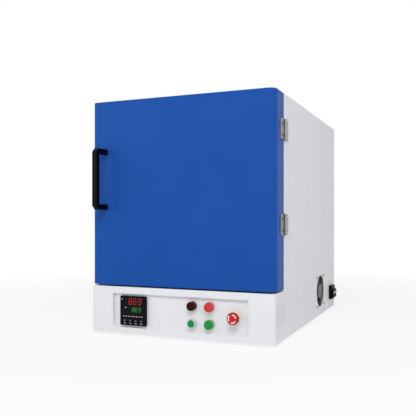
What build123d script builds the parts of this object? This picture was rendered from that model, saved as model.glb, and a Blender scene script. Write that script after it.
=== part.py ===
from build123d import *
from math import cos, radians, sin
import os

# Laboratory muffle furnace: a blue insulated door on a pale sheet cabinet that stands on a control console.
# All sizes are in millimetres. X runs to the right, Y to the rear, Z up.
# While the pieces are drawn, X = 0 is mid-width, Y = 0 the console's front and Z = 0 the ground.
# The chamber is the driving size: insulation, casing, cabinet and door follow from it.

# Chamber, insulation and the air spaces round the furnace box
CHAMBER_W = 300.0
CHAMBER_H = 260.0
CHAMBER_D = 480.0
WALL_T = 130.0
BACK_T = 120.0
SIDE_SPACE = 43.5
HEAD_SPACE = 47.0
REAR_SPACE = 163.0
CASING_RISE = 38.5

# Sheet metal of the cabinet
SHEET = 1.5
SEAM = 0.3
CONSOLE_R = 14.0
CONSOLE_FOLD_R = 2.5
EDGE_R = 8.0
FRONT_FLANGE = 30.0
REAR_FLANGE = 18.0
TOP_FLANGE = 15.0
PAN_RIM = 10.0
LEDGE_LAP = 20.0
DECK_RISE = 7.0
DECK_RIM = 15.0
RAIL_W = 40.0
RAIL_INSET = 90.0
FOOT_H = 8.0
FOOT_R = 20.0
FOOT_TAPER = 2.0
FOOT_INSET_X = 70.0
FOOT_INSET_Y = 80.0

# Vents in the side panels and the rear panel
SIDE_SLOTS = 5
SIDE_SLOT_PITCH = 20.9
SIDE_SLOT_FIRST = 19.0
SIDE_SLOT_W = 4.0
SIDE_SLOT_L = 73.0
SIDE_SLOT_MID = 80.0
REAR_SLOT_W = 5.0
REAR_SLOT_L = 120.0
REAR_SLOT_PITCH = 22.0
REAR_SLOT_INSET = 175.0
UPPER_SLOTS = 6
UPPER_SLOT_DROP = 55.0
LOWER_SLOTS = 4
LOWER_SLOT_RISE = 40.0

# Furnace box behind the door
THROAT_MARGIN = 20.0
HEARTH_T = 12.0
HEARTH_SIDE_GAP = 12.0
HEARTH_FRONT_GAP = 11.0
HEARTH_BACK_GAP = 15.0
HEARTH_SOFT = 2.0
POCKET_DEPTH = 8.0
POCKET_FRONT = 66.0
POCKET_EDGE = 16.0
STRIP_W = 9.0
STRIP_T = 2.0
STRIP_RUNS = 6
STRIP_EDGE = 45.0
TERMINAL_R = 3.6
TERMINAL_IN = 30.0
TERMINAL_OUT = 45.0
TERMINAL_PLAY = 0.2
BUSH_R = 7.0
BUSH_COLLAR_R = 10.0
BUSH_COLLAR_L = 8.0
PROBE_R = 4.0
PROBE_TIP_R = 2.4
PROBE_REACH = 75.0
PROBE_DROP = 70.0
PROBE_HEAD_R = 20.0
PROBE_HEAD_L = 24.0
PROBE_LID_R = 22.0
PROBE_LID_L = 9.0
BORE_PLAY = 0.5

# Door
DOOR_T = 88.0
DOOR_SETBACK = 2.0
DOOR_STANDOFF = 4.0
DOOR_R = 22.0
DOOR_FOLD_R = 2.0
DOOR_GAP = 5.0
PLUG_PLAY = 5.0
PLUG_TAPER = 7.0
PLUG_REACH = 42.0
PLUG_ROOT = 30.0
PLUG_SOFT = 4.0
GASKET_W = 14.0
GASKET_MARGIN = 6.0
GASKET_R = 24.0
CATCH_INSET = 75.0
CATCH_W = 24.0
CATCH_H = 50.0
CATCH_PLATE_T = 0.9
CATCH_PLATE_EDGE = 3.0
CATCH_SOFT = 4.0

# Bridge handle
HANDLE_INSET = 54.0
HANDLE_DROP = 261.5
HANDLE_L = 201.0
HANDLE_REACH = 63.0
HANDLE_BAR = 18.0
HANDLE_CHAMFER = 12.0
HANDLE_SOFT = 1.5
HANDLE_SCREW_R = 3.0
HANDLE_SCREW_IN = 20.0
HANDLE_HEAD_R = 5.5
HANDLE_HEAD_T = 3.5

# Butt hinges on the right side
HINGE_LOW = 202.0
HINGE_HIGH = 115.0
HINGE_H = 64.0
HINGE_LEAF = 34.0
LEAF_T = 2.5
LEAF_CORNER_R = 2.0
KNUCKLE_R = 5.0
KNUCKLE_END = 16.0
PIN_R = 2.5
PIN_PLAY = 0.05
PIN_BACK = 2.0
PIN_HEAD_R = 3.6
PIN_HEAD_T = 1.5
HINGE_CLEAR = 0.4
LEAF_SCREW_Z = 18.0
LEAF_SCREW_R = 2.4
LEAF_HEAD_R = 4.5
LEAF_HEAD_T = 1.2
LEAF_SCREW_L = 9.0

# Recessed control plate
RECESS_SIDE = 85.0
RECESS_RISE = 20.0
RECESS_DROP = 22.0
RECESS_DEPTH = 9.0
TRAY_LIP = 8.0
BUTTON_INSET = 190.0
BUTTON_PITCH = 60.0
BUTTON_RISE = 28.5
BUTTON_DROP = 28.0
ESTOP_INSET = 44.0
CUT_PLAY = 0.2

# Temperature controller
CONTROLLER_SIZE = 96.0
CONTROLLER_INSET = 77.0
CONTROLLER_MARGIN = 7.5
CONTROLLER_PROUD = 12.0
CONTROLLER_RIM = 2.2
CONTROLLER_BEHIND = 78.0
CONTROLLER_CORNER_R = 2.5
CONTROLLER_SOFT = 2.0
WINDOW_EDGE = 5.0
WINDOW_FOOT = 26.0
WINDOW_DEPTH = 1.2
WINDOW_T = 1.0
KEY_NAMES = ("key_set", "key_shift", "key_down", "key_up")
KEY_LEFT = 18.7
KEY_RIGHT = 15.5
KEY_RISE = 16.0
KEY_W = 13.0
KEY_H = 8.0
KEY_WELL = 8.0
KEY_PROUD = 0.8
KEY_TRAVEL = 0.8

# Push buttons, lamps and emergency stop
BARREL_R = 11.0
FLANGE_R = 14.8
FLANGE_T = 3.0
NUT_R = 14.0
NUT_T = 4.5
BLOCK_W = 28.0
BLOCK_NEAR = 12.0
BLOCK_FAR = 55.0
STEM_R = 8.0
STEM_PLAY = 0.1
STEM_IN = 1.0
STEM_WELL = 5.0
HEAD_OUT = 17.5
STOP_CAP_R = 14.3
STOP_COLLAR_R = 12.4
STOP_COLLAR_OUT = 8.0
STOP_SKIRT_FROM = 6.5
STOP_FACE_T = 5.5
START_COLLAR_OUT = 14.0
START_CAP_R = 11.0
START_CAP_FROM = 6.5
START_CAP_OUT = 16.5
START_NOTCH_W = 4.0
START_NOTCH_L = 5.0
CAP_PLAY = 0.4
CAP_SOFT = 1.5
LENS_R = 14.5
ESTOP_COLLAR_R = 15.0
ESTOP_COLLAR_T = 4.0
ESTOP_NECK_R = 12.5
ESTOP_NECK_OUT = 9.0
ESTOP_STEM_R = 6.0
ESTOP_STEM_OUT = 15.0
ESTOP_TIP_R = 4.0
ESTOP_TIP_L = 9.0
ESTOP_HEAD_R = 19.0
ESTOP_HEAD_T = 16.0
ESTOP_FLARE = 5.0
ESTOP_CROWN_R = 4.5
ESTOP_DISH_EDGE = 2.0
ESTOP_DISH = 1.6
ESTOP_LOBES = 3
ESTOP_LOBE_R = 4.4
ESTOP_LOBE_OUT = 3.6
ESTOP_WELL = 12.0
ESTOP_STEM_IN = 7.0
TURN_PLAY = 0.06

# Cooling fan on the right side
FAN_FROM_REAR = 266.0
FAN_FOOT = 29.0
FAN_HEADROOM = 4.0
FAN_SIZE = 127.0
FAN_DEPTH = 38.0
FAN_WALL = 3.0
FAN_CUT_EDGE = 1.5
FAN_SCREW_INSET = 6.85
FAN_CORNER_R = 8.0
FAN_HUB_R = 26.0
FAN_HUB_PLATE = 5.0
FAN_HUB_GROOVE_R = 19.0
FAN_HUB_GROOVE = 1.0
FAN_STRUTS = 4
FAN_STRUT_W = 5.0
FAN_STRUT_TURN = 28.0
FAN_BLADES = 7
FAN_TIP_GAP = 2.0
FAN_BLADE_T = 1.8
FAN_BLADE_CHORD = 27.0
FAN_BLADE_ROOT_PITCH = 52.0
FAN_BLADE_TIP_PITCH = 28.0
FAN_BLADE_CAMBER = 3.0
FAN_BLADE_SUNK = 6.0
FAN_ROTOR_GAP = 4.0
FAN_ROTOR_SOFT = 3.0
FAN_SHAFT_R = 3.0
FAN_SHAFT_L = 18.0
FAN_RUN_GAP = 0.5
SCREW_R = 2.0
SCREW_HEAD_R = 4.0
SCREW_HEAD_T = 2.0
SCREW_L = 8.0
SCREW_PLAY = 0.1

# Mains switch on the right side
BREAKER_FROM_REAR = 80.5
BREAKER_RISE = 67.5
BREAKER_W = 57.0
BREAKER_H = 56.0
BREAKER_OUT = 14.0
BREAKER_NOSE_OUT = 20.0
BREAKER_NOSE_STEP = 10.0
BREAKER_BEHIND = 62.0
BREAKER_EDGE = 2.5
BREAKER_SOFT = 0.8
TOGGLE_SIDE = 6.3
TOGGLE_DRUM_R = 6.5
TOGGLE_SINK = 1.5
TOGGLE_SLOT_H = 20.0
TOGGLE_SLOT_DEPTH = 16.0
TOGGLE_DROP = 5.0
TOGGLE_REACH = 17.0
TOGGLE_T = 5.0
TOGGLE_TILT = 28.0
TOGGLE_PIN_R = 2.0
TOGGLE_PIN_L = 3.0

# Rear cable gland and power electronics
GLAND_INSET = 75.0
GLAND_RISE = 55.0
GLAND_BORE_R = 6.0
GLAND_HEX = 27.0
GLAND_HEX_T = 6.0
GLAND_DOME_R = 12.0
GLAND_DOME_SOFT = 4.0
GLAND_OUT = 25.0
GLAND_BARREL_R = 9.5
GLAND_IN = 14.0
REAR_SCREW_ROWS = 4
REAR_SCREW_INSET = 30.0
SINK_INSET = 165.0
SINK_W = 100.0
SINK_L = 110.0
SINK_H = 50.0
SINK_BASE = 8.0
SINK_FINS = 9
SINK_FIN_T = 3.0
RELAY_W = 45.0
RELAY_L = 60.0
RELAY_H = 25.0
RELAY_SOFT = 2.0

# Cutting tools reach this far past the face that they cut
OVERCUT = 1.0

# Widths and depths that follow from the sizes above
HALF = CHAMBER_W / 2 + WALL_T + SHEET + SIDE_SPACE
INNER_HALF = HALF - SHEET
FITTED_HALF = INNER_HALF - SEAM
CASING_HALF = CHAMBER_W / 2 + WALL_T + SHEET
DOOR_FRONT = DOOR_SETBACK
DOOR_BACK = DOOR_FRONT + DOOR_T
SETBACK = DOOR_BACK + DOOR_STANDOFF
FRAME_Y = SETBACK + SHEET
CASING_FRONT = FRAME_Y + SHEET
CHAMBER_BACK = CASING_FRONT + CHAMBER_D
CASING_BACK = CHAMBER_BACK + BACK_T
DEPTH = CASING_BACK + REAR_SPACE
REAR_Y = DEPTH - SHEET

# Heights that follow, from the feet to the roof
BASE_Z = FOOT_H
RECESS_W = 2 * (HALF - RECESS_SIDE)
RECESS_Z0 = BASE_Z + RECESS_RISE
RECESS_Z1 = RECESS_Z0 + CONTROLLER_SIZE + 2 * CONTROLLER_MARGIN
CONSOLE_TOP = RECESS_Z1 + RECESS_DROP
FAN_Z = BASE_Z + FAN_FOOT + FAN_SIZE / 2
DECK_Z = max(CONSOLE_TOP + DECK_RISE, FAN_Z + FAN_SIZE / 2 + FAN_HEADROOM) + SHEET
CASING_Z = DECK_Z + CASING_RISE
CHAMBER_FLOOR = CASING_Z + SHEET + WALL_T
CHAMBER_ROOF = CHAMBER_FLOOR + CHAMBER_H
CHAMBER_MID = CHAMBER_FLOOR + CHAMBER_H / 2
CASING_TOP = CHAMBER_ROOF + WALL_T + SHEET
TOP_Z = CASING_TOP + HEAD_SPACE
DOOR_BOTTOM = CONSOLE_TOP + DOOR_GAP

# Places of the fittings
PIN_X = HALF + KNUCKLE_R + HINGE_CLEAR
PIN_Y = DOOR_BACK + PIN_BACK
HINGE_Z = (DOOR_BOTTOM + HINGE_LOW, TOP_Z - HINGE_HIGH)
LEAF_SCREW_YS = (PIN_Y - KNUCKLE_R - HINGE_LEAF / 2, PIN_Y + KNUCKLE_R + HINGE_LEAF / 2)
HANDLE_X = HANDLE_INSET - HALF
HANDLE_Z = TOP_Z - HANDLE_DROP
HANDLE_LEG_ZS = [HANDLE_Z + s * (HANDLE_L - HANDLE_BAR) / 2 for s in (-1, 1)]
CATCH_X = HALF - CATCH_INSET
CONTROLLER_X = CONTROLLER_INSET - RECESS_W / 2
CONTROLLER_Z = (RECESS_Z0 + RECESS_Z1) / 2
CONTROLLER_BODY = CONTROLLER_SIZE - 2 * CONTROLLER_RIM
WINDOW_W = CONTROLLER_SIZE - 2 * WINDOW_EDGE
WINDOW_H = CONTROLLER_SIZE - WINDOW_EDGE - WINDOW_FOOT
WINDOW_MID = (WINDOW_FOOT - WINDOW_EDGE) / 2
KEY_DROP = CONTROLLER_SIZE / 2 - KEY_RISE
KEY_PITCH = (CONTROLLER_SIZE - KEY_LEFT - KEY_RIGHT) / (len(KEY_NAMES) - 1)
STOP_AT = (RECESS_W / 2 - BUTTON_INSET, RECESS_Z1 - BUTTON_DROP)
START_AT = (RECESS_W / 2 - BUTTON_INSET, RECESS_Z0 + BUTTON_RISE)
RED_LAMP_AT = (STOP_AT[0] + BUTTON_PITCH, STOP_AT[1])
GREEN_LAMP_AT = (START_AT[0] + BUTTON_PITCH, START_AT[1])
ESTOP_AT = (RECESS_W / 2 - ESTOP_INSET, CONTROLLER_Z)
FAN_Y = DEPTH - FAN_FROM_REAR
FAN_DUCT_R = FAN_SIZE / 2 - FAN_WALL
FAN_CUT_R = FAN_DUCT_R + FAN_CUT_EDGE
FAN_BLADE_R = FAN_DUCT_R - FAN_TIP_GAP
BREAKER_Y = DEPTH - BREAKER_FROM_REAR
BREAKER_Z = BASE_Z + BREAKER_RISE
BREAKER_NOSE_H = BREAKER_H - 2 * BREAKER_NOSE_STEP
TOGGLE_W = BREAKER_W - 2 * TOGGLE_SIDE
TOGGLE_X = HALF + BREAKER_NOSE_OUT - TOGGLE_DRUM_R - TOGGLE_SINK
TOGGLE_Z = BREAKER_Z - TOGGLE_DROP
GLAND_X = HALF - GLAND_INSET
GLAND_Z = BASE_Z + GLAND_RISE
REAR_SLOT_X = HALF - REAR_SLOT_INSET
REAR_SCREW_X = INNER_HALF - REAR_FLANGE / 2
SINK_X = HALF - SINK_INSET
STRIP_PITCH = (CHAMBER_H - 2 * STRIP_EDGE) / (STRIP_RUNS - 1)
STRIP_ZS = [CHAMBER_FLOOR + STRIP_EDGE + run * STRIP_PITCH for run in range(STRIP_RUNS)]
ELEMENT_X = CHAMBER_W / 2 + POCKET_DEPTH
TERMINAL_X = ELEMENT_X - TERMINAL_R - TERMINAL_PLAY
TERMINALS = [(x, z) for x in (-TERMINAL_X, TERMINAL_X) for z in (STRIP_ZS[0], STRIP_ZS[-1])]
PROBE_Z = CHAMBER_ROOF - PROBE_DROP

STAND = (Align.CENTER, Align.CENTER, Align.MIN)


# Small helpers
def block(x0, x1, y0, y1, z0, z1):
    """Box between two opposite corners."""
    return Pos((x0 + x1) / 2, (y0 + y1) / 2, (z0 + z1) / 2) * Box(x1 - x0, y1 - y0, z1 - z0)


def rod(radius, start, end):
    """Cylinder along the local Z axis from start to end."""
    return Pos(0, 0, start) * Cylinder(radius, end - start, align=STAND)


def out_of_panel(x, z, y=RECESS_DEPTH):
    """Frame on the control plate: local Z points out of the panel, local Y up."""
    return Plane(origin=(x, y, z), x_dir=(1, 0, 0), z_dir=(0, -1, 0))


def out_of_side(y, z, x=HALF):
    """Frame on the right side panel: local Z points outward, local X to the rear, local Y up."""
    return Plane(origin=(x, y, z), x_dir=(0, 1, 0), z_dir=(1, 0, 0))


def out_of_rear(x, z, y=DEPTH):
    """Frame on the rear panel: local Z points to the rear, local Y up."""
    return Plane(origin=(x, y, z), x_dir=(-1, 0, 0), z_dir=(0, 1, 0))


def casing_plan(half_width, front, back, radius):
    """Plan view of a casing whose two front corners are rounded."""
    plan = Pos(0, (front + back) / 2) * Rectangle(2 * half_width, back - front)
    return fillet(plan.vertices().group_by(Axis.Y)[0], radius)


def standing(plan, z0, z1):
    """Plan view raised from one height to another."""
    return Pos(0, 0, z0) * extrude(plan, z1 - z0)


def joined(pieces):
    """Separate solids kept in one node."""
    return Compound(children=list(pieces))


# Cabinet sheet metal
def side_panel(right):
    """Side sheet that steps forward at the console, with a rolled front edge and a rear flange."""
    lower = block(INNER_HALF, HALF, CONSOLE_R + SEAM, DEPTH, BASE_Z, CONSOLE_TOP)
    outer = Pos(HALF - FRONT_FLANGE / 2, (SETBACK + DEPTH) / 2) * Rectangle(FRONT_FLANGE, DEPTH - SETBACK)
    corner = outer.vertices().group_by(Axis.Y)[0].sort_by(Axis.X)[-1]
    outer = fillet(corner, EDGE_R)
    inner = Pos(INNER_HALF - FRONT_FLANGE / 2, (FRAME_Y + DEPTH) / 2)
    inner = inner * Rectangle(FRONT_FLANGE, DEPTH - FRAME_Y)
    corner = inner.vertices().group_by(Axis.Y)[0].sort_by(Axis.X)[-1]
    inner = fillet(corner, EDGE_R - SHEET)
    sheet = lower + standing(outer - inner, CONSOLE_TOP, TOP_Z)
    sheet += block(INNER_HALF - REAR_FLANGE, INNER_HALF, REAR_Y - SHEET, REAR_Y,
                   BASE_Z + SHEET + SEAM, TOP_Z - SHEET - SEAM)
    slot = extrude(SlotOverall(SIDE_SLOT_L, SIDE_SLOT_W, rotation=90), SHEET + 2 * OVERCUT)
    for i in range(SIDE_SLOTS):
        y = SIDE_SLOT_FIRST + i * SIDE_SLOT_PITCH
        sheet -= out_of_side(y, BASE_Z + SIDE_SLOT_MID, INNER_HALF - OVERCUT) * slot
    for z in rear_screw_rows():
        sheet -= out_of_rear(REAR_SCREW_X, z) * rod(SCREW_R + SCREW_PLAY, -SCREW_L, OVERCUT)
    if not right:
        return mirror(sheet, Plane.YZ)
    sheet -= out_of_side(FAN_Y, FAN_Z) * rod(FAN_CUT_R, -SHEET - OVERCUT, OVERCUT)
    for y, z in fan_corners():
        sheet -= out_of_side(y, z) * rod(SCREW_R + SCREW_PLAY, -SHEET - OVERCUT, OVERCUT)
    window_w = BREAKER_W - 2 * BREAKER_EDGE + 2 * CUT_PLAY
    window_h = BREAKER_H - 2 * BREAKER_EDGE + 2 * CUT_PLAY
    sheet -= out_of_side(BREAKER_Y, BREAKER_Z) * Box(window_w, window_h, 4 * SHEET)
    for z in leaf_screw_zs():
        sheet -= out_of_side(LEAF_SCREW_YS[1], z) * rod(LEAF_SCREW_R + SCREW_PLAY, -SHEET - OVERCUT, OVERCUT)
    return sheet


def console_front():
    """Folded console: front wall, two rounded corners and the ledge that runs back under the door."""
    ledge_back = SETBACK + LEDGE_LAP
    outer = standing(casing_plan(HALF, 0, ledge_back, CONSOLE_R), BASE_Z, CONSOLE_TOP)
    fold = [e for e in outer.edges().group_by(Axis.Z)[-1] if e.center().Y < ledge_back - OVERCUT]
    outer = fillet(fold, CONSOLE_FOLD_R)
    trim = block(FITTED_HALF, HALF + SHEET, CONSOLE_R, ledge_back + SHEET,
                 BASE_Z - SHEET, CONSOLE_TOP + SHEET)
    outer = outer - trim - mirror(trim, Plane.YZ)
    inner_plan = casing_plan(INNER_HALF, SHEET, ledge_back + SHEET, CONSOLE_R - SHEET)
    shell = outer - standing(inner_plan, BASE_Z - SHEET, CONSOLE_TOP - SHEET)
    return shell - block(-RECESS_W / 2, RECESS_W / 2, -OVERCUT, SHEET + OVERCUT, RECESS_Z0, RECESS_Z1)


def control_plate():
    """Tray behind the console's cut-out, with holes for the controller and the round devices."""
    half = RECESS_W / 2
    back = RECESS_DEPTH + SHEET
    tray = block(-half - SHEET, half + SHEET, SHEET, back, RECESS_Z0 - SHEET, RECESS_Z1 + SHEET)
    lip = half + TRAY_LIP
    tray += block(-lip, lip, SHEET, 2 * SHEET, RECESS_Z0 - TRAY_LIP, RECESS_Z1 + TRAY_LIP)
    tray -= block(-half, half, 0, RECESS_DEPTH, RECESS_Z0, RECESS_Z1)
    opening = CONTROLLER_BODY + 2 * CUT_PLAY
    tray -= out_of_panel(CONTROLLER_X, CONTROLLER_Z) * Box(opening, opening, 4 * SHEET)
    for x, z in (STOP_AT, START_AT, RED_LAMP_AT, GREEN_LAMP_AT, ESTOP_AT):
        tray -= out_of_panel(x, z) * rod(BARREL_R + CUT_PLAY, -SHEET - OVERCUT, OVERCUT)
    return tray


def base_pan():
    """Floor of the console with an upturned rim."""
    rear = REAR_Y - SHEET - SEAM
    front = SHEET + SEAM
    radius = CONSOLE_R - SHEET - SEAM
    outer = standing(casing_plan(FITTED_HALF, front, rear, radius), BASE_Z, BASE_Z + PAN_RIM)
    plan = casing_plan(FITTED_HALF - SHEET, front + SHEET, rear - SHEET, radius - SHEET)
    return outer - standing(plan, BASE_Z + SHEET, BASE_Z + PAN_RIM + SHEET)


def feet():
    """Four low rubber feet under the base pan."""
    ys = (FOOT_INSET_Y, DEPTH - FOOT_INSET_Y)
    xs = (-HALF + FOOT_INSET_X, HALF - FOOT_INSET_X)
    foot = Cone(FOOT_R - FOOT_TAPER, FOOT_R, FOOT_H, align=STAND)
    return joined(Pos(x, y, 0) * foot for x in xs for y in ys)


def deck_plate():
    """Deck over the electronics, with two welded channels that carry the furnace box."""
    front = CASING_FRONT + SEAM
    back = REAR_Y - SHEET - SEAM
    deck = standing(casing_plan(FITTED_HALF, front, back, EDGE_R), DECK_Z - SHEET, DECK_Z + DECK_RIM)
    deck -= block(-FITTED_HALF + SHEET, FITTED_HALF - SHEET, front - SHEET, back + SHEET,
                  DECK_Z, DECK_Z + 2 * DECK_RIM)
    for side in (-1, 1):
        x = side * (CASING_HALF - RAIL_INSET)
        rail = block(x - RAIL_W / 2, x + RAIL_W / 2, front, CASING_BACK, DECK_Z, CASING_Z)
        rail -= block(x - RAIL_W / 2 + SHEET, x + RAIL_W / 2 - SHEET, front - SHEET, CASING_BACK + SHEET,
                      DECK_Z, CASING_Z - SHEET)
        deck += rail
    return deck


def front_frame():
    """Plate behind the front flanges with the throat opening."""
    half = HALF - EDGE_R - SHEET
    plate = block(-half, half, FRAME_Y, CASING_FRONT, CONSOLE_TOP, TOP_Z - SHEET)
    throat_half = CHAMBER_W / 2 + THROAT_MARGIN
    return plate - block(-throat_half, throat_half, SETBACK, CASING_FRONT + SHEET,
                         CHAMBER_FLOOR - THROAT_MARGIN, CHAMBER_ROOF + THROAT_MARGIN)


def top_cover():
    """Lid between the side panels, folded down at the front and along both sides."""
    radius = EDGE_R - SHEET - SEAM
    plan = casing_plan(FITTED_HALF, FRAME_Y + SEAM, REAR_Y - SEAM, radius)
    lid = standing(plan, TOP_Z - SHEET, TOP_Z)
    front_half = HALF - FRONT_FLANGE - SEAM
    lid += block(-front_half, front_half, SETBACK, FRAME_Y + 2 * SEAM, TOP_Z - SHEET, TOP_Z)
    lid += block(-front_half, front_half, SETBACK, FRAME_Y, TOP_Z - FRONT_FLANGE, TOP_Z)
    for side in (-1, 1):
        x0, x1 = sorted((side * FITTED_HALF, side * (FITTED_HALF - SHEET)))
        lid += block(x0, x1, SETBACK + 2 * EDGE_R, REAR_Y - 3 * SHEET, TOP_Z - TOP_FLANGE, TOP_Z - SHEET)
    return lid


def rear_screw_rows():
    low = BASE_Z + REAR_SCREW_INSET
    step = (TOP_Z - BASE_Z - 2 * REAR_SCREW_INSET) / (REAR_SCREW_ROWS - 1)
    return [low + row * step for row in range(REAR_SCREW_ROWS)]


def rear_panel():
    """Back sheet with two fields of cooling slots and the hole of the cable gland."""
    sheet = block(-FITTED_HALF, FITTED_HALF, REAR_Y, DEPTH, BASE_Z, TOP_Z)
    slot = extrude(SlotOverall(REAR_SLOT_L, REAR_SLOT_W), SHEET + 2 * OVERCUT)
    for x in (-REAR_SLOT_X, REAR_SLOT_X):
        for row in range(UPPER_SLOTS):
            z = TOP_Z - UPPER_SLOT_DROP - row * REAR_SLOT_PITCH
            sheet -= out_of_rear(x, z, REAR_Y - OVERCUT) * slot
    for row in range(LOWER_SLOTS):
        z = BASE_Z + LOWER_SLOT_RISE + row * REAR_SLOT_PITCH
        sheet -= out_of_rear(-REAR_SLOT_X, z, REAR_Y - OVERCUT) * slot
    sheet -= out_of_rear(GLAND_X, GLAND_Z) * rod(GLAND_BARREL_R + CUT_PLAY, -SHEET - OVERCUT, OVERCUT)
    for x, z in rear_screw_spots():
        sheet -= out_of_rear(x, z) * rod(SCREW_R + SCREW_PLAY, -SHEET - OVERCUT, OVERCUT)
    return sheet


def pan_screw():
    """Pan-head screw: the head's underside lies at local Z = 0."""
    head = rod(SCREW_HEAD_R, 0, SCREW_HEAD_T)
    head = chamfer(head.edges().group_by(Axis.Z)[-1], SCREW_HEAD_T / 3)
    return head + rod(SCREW_R, -SCREW_L + SHEET, 0)


def rear_screw_spots():
    return [(x, z) for x in (-REAR_SCREW_X, REAR_SCREW_X) for z in rear_screw_rows()]


def cover_screws():
    """Screws down both edges of the rear panel."""
    return joined(out_of_rear(x, z) * pan_screw() for x, z in rear_screw_spots())


# Furnace box
def inner_casing():
    """Sheet box round the insulation, open at the front, with holes for the probe and the terminals."""
    box = block(-CASING_HALF, CASING_HALF, CASING_FRONT, CASING_BACK + SHEET, CASING_Z, CASING_TOP)
    box -= block(-CASING_HALF + SHEET, CASING_HALF - SHEET, CASING_FRONT - OVERCUT, CASING_BACK,
                 CASING_Z + SHEET, CASING_TOP - SHEET)
    return box - back_bores(CASING_BACK - OVERCUT, CASING_BACK + SHEET + OVERCUT)


def back_bores(y0, y1):
    """Holes through the furnace's back for the probe and for the bushes of the terminals."""
    bores = out_of_rear(0, PROBE_Z, y0) * rod(PROBE_R + BORE_PLAY, 0, y1 - y0)
    for x, z in TERMINALS:
        bores += out_of_rear(x, z, y0) * rod(BUSH_R + BORE_PLAY, 0, y1 - y0)
    return bores


def terminal_bushes():
    """Ceramic tubes that carry the terminals through the back wall, with a collar outside the casing."""
    seat = CASING_BACK + SHEET
    bush = rod(BUSH_R, CHAMBER_BACK - seat, BUSH_COLLAR_L) + rod(BUSH_COLLAR_R, 0, BUSH_COLLAR_L)
    bush = chamfer(bush.edges().group_by(Axis.Z)[-1], SHEET)
    bush -= rod(TERMINAL_R + TERMINAL_PLAY, CHAMBER_BACK - seat - OVERCUT, BUSH_COLLAR_L + OVERCUT)
    return joined(out_of_rear(x, z, seat) * bush for x, z in TERMINALS)


def insulation_floor():
    half = CASING_HALF - SHEET
    return block(-half, half, CASING_FRONT, CHAMBER_BACK, CASING_Z + SHEET, CHAMBER_FLOOR)


def insulation_roof():
    half = CASING_HALF - SHEET
    return block(-half, half, CASING_FRONT, CHAMBER_BACK, CHAMBER_ROOF, CASING_TOP - SHEET)


def insulation_side():
    """Right wall of the chamber, with the pocket that the heating strip lies in."""
    wall = block(CHAMBER_W / 2, CASING_HALF - SHEET, CASING_FRONT, CHAMBER_BACK, CHAMBER_FLOOR, CHAMBER_ROOF)
    pocket = block(CHAMBER_W / 2 - OVERCUT, ELEMENT_X, CASING_FRONT + POCKET_FRONT, CHAMBER_BACK + OVERCUT,
                   STRIP_ZS[0] - POCKET_EDGE, STRIP_ZS[-1] + POCKET_EDGE)
    return wall - pocket


def insulation_back():
    half = CASING_HALF - SHEET
    wall = block(-half, half, CHAMBER_BACK, CASING_BACK, CASING_Z + SHEET, CASING_TOP - SHEET)
    return wall - back_bores(CHAMBER_BACK - OVERCUT, CASING_BACK + OVERCUT)


def hearth_plate():
    """Ceramic plate on the chamber floor, behind the tip of the door's plug."""
    half = CHAMBER_W / 2 - HEARTH_SIDE_GAP
    plate = block(-half, half, DOOR_BACK + PLUG_REACH + HEARTH_FRONT_GAP, CHAMBER_BACK - HEARTH_BACK_GAP,
                  CHAMBER_FLOOR, CHAMBER_FLOOR + HEARTH_T)
    return chamfer(plate.edges().group_by(Axis.Z)[-1], HEARTH_SOFT)


def heating_strip():
    """Right heating element: a flat strip in hairpin runs, with two terminal rods through the back wall."""
    bend_room = STRIP_PITCH / 2 + 2 * STRIP_W
    front = CASING_FRONT + POCKET_FRONT + bend_room
    back = CHAMBER_BACK - bend_room
    outline = Sketch()
    for run, z in enumerate(STRIP_ZS):
        end = CHAMBER_BACK - OVERCUT if run in (0, STRIP_RUNS - 1) else back
        outline += Pos((front + end) / 2, z) * Rectangle(end - front, STRIP_W)
    ring = Circle((STRIP_PITCH + STRIP_W) / 2) - Circle((STRIP_PITCH - STRIP_W) / 2)
    front_bend = ring - Pos(STRIP_PITCH, 0) * Rectangle(2 * STRIP_PITCH, 2 * STRIP_PITCH)
    back_bend = ring - Pos(-STRIP_PITCH, 0) * Rectangle(2 * STRIP_PITCH, 2 * STRIP_PITCH)
    for run in range(STRIP_RUNS - 1):
        mid = STRIP_ZS[run] + STRIP_PITCH / 2
        outline += Pos(front, mid) * front_bend if run % 2 == 0 else Pos(back, mid) * back_bend
    strip = out_of_side(0, 0, ELEMENT_X - STRIP_T) * extrude(outline, STRIP_T)
    start = CHAMBER_BACK - TERMINAL_IN
    for z in (STRIP_ZS[0], STRIP_ZS[-1]):
        strip += out_of_rear(TERMINAL_X, z, start) * rod(TERMINAL_R, 0, CASING_BACK + TERMINAL_OUT - start)
    return strip


def thermocouple():
    """Ceramic probe through the back wall, with its connection head and lid behind the casing."""
    sheath = rod(PROBE_R, 0, PROBE_REACH + BACK_T + 2 * SHEET)
    sheath = fillet(sheath.edges().group_by(Axis.Z)[0], PROBE_TIP_R)
    head = rod(PROBE_HEAD_R, 0, PROBE_HEAD_L) + rod(PROBE_LID_R, PROBE_HEAD_L - PROBE_LID_L, PROBE_HEAD_L)
    head = fillet(head.edges().group_by(Axis.Z)[-1], PROBE_LID_L / 3)
    head = out_of_rear(0, PROBE_Z, CASING_BACK + SHEET) * head
    return out_of_rear(0, PROBE_Z, CHAMBER_BACK - PROBE_REACH) * sheath + head


def magnetic_catch():
    """Flat magnet on the front plate that holds the door shut."""
    front = DOOR_BACK + CATCH_PLATE_T + SEAM
    magnet = block(-CATCH_X - CATCH_W / 2, -CATCH_X + CATCH_W / 2, front, FRAME_Y,
                   CHAMBER_MID - CATCH_H / 2, CHAMBER_MID + CATCH_H / 2)
    return fillet(magnet.edges().filter_by(Axis.Y), CATCH_SOFT)


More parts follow.
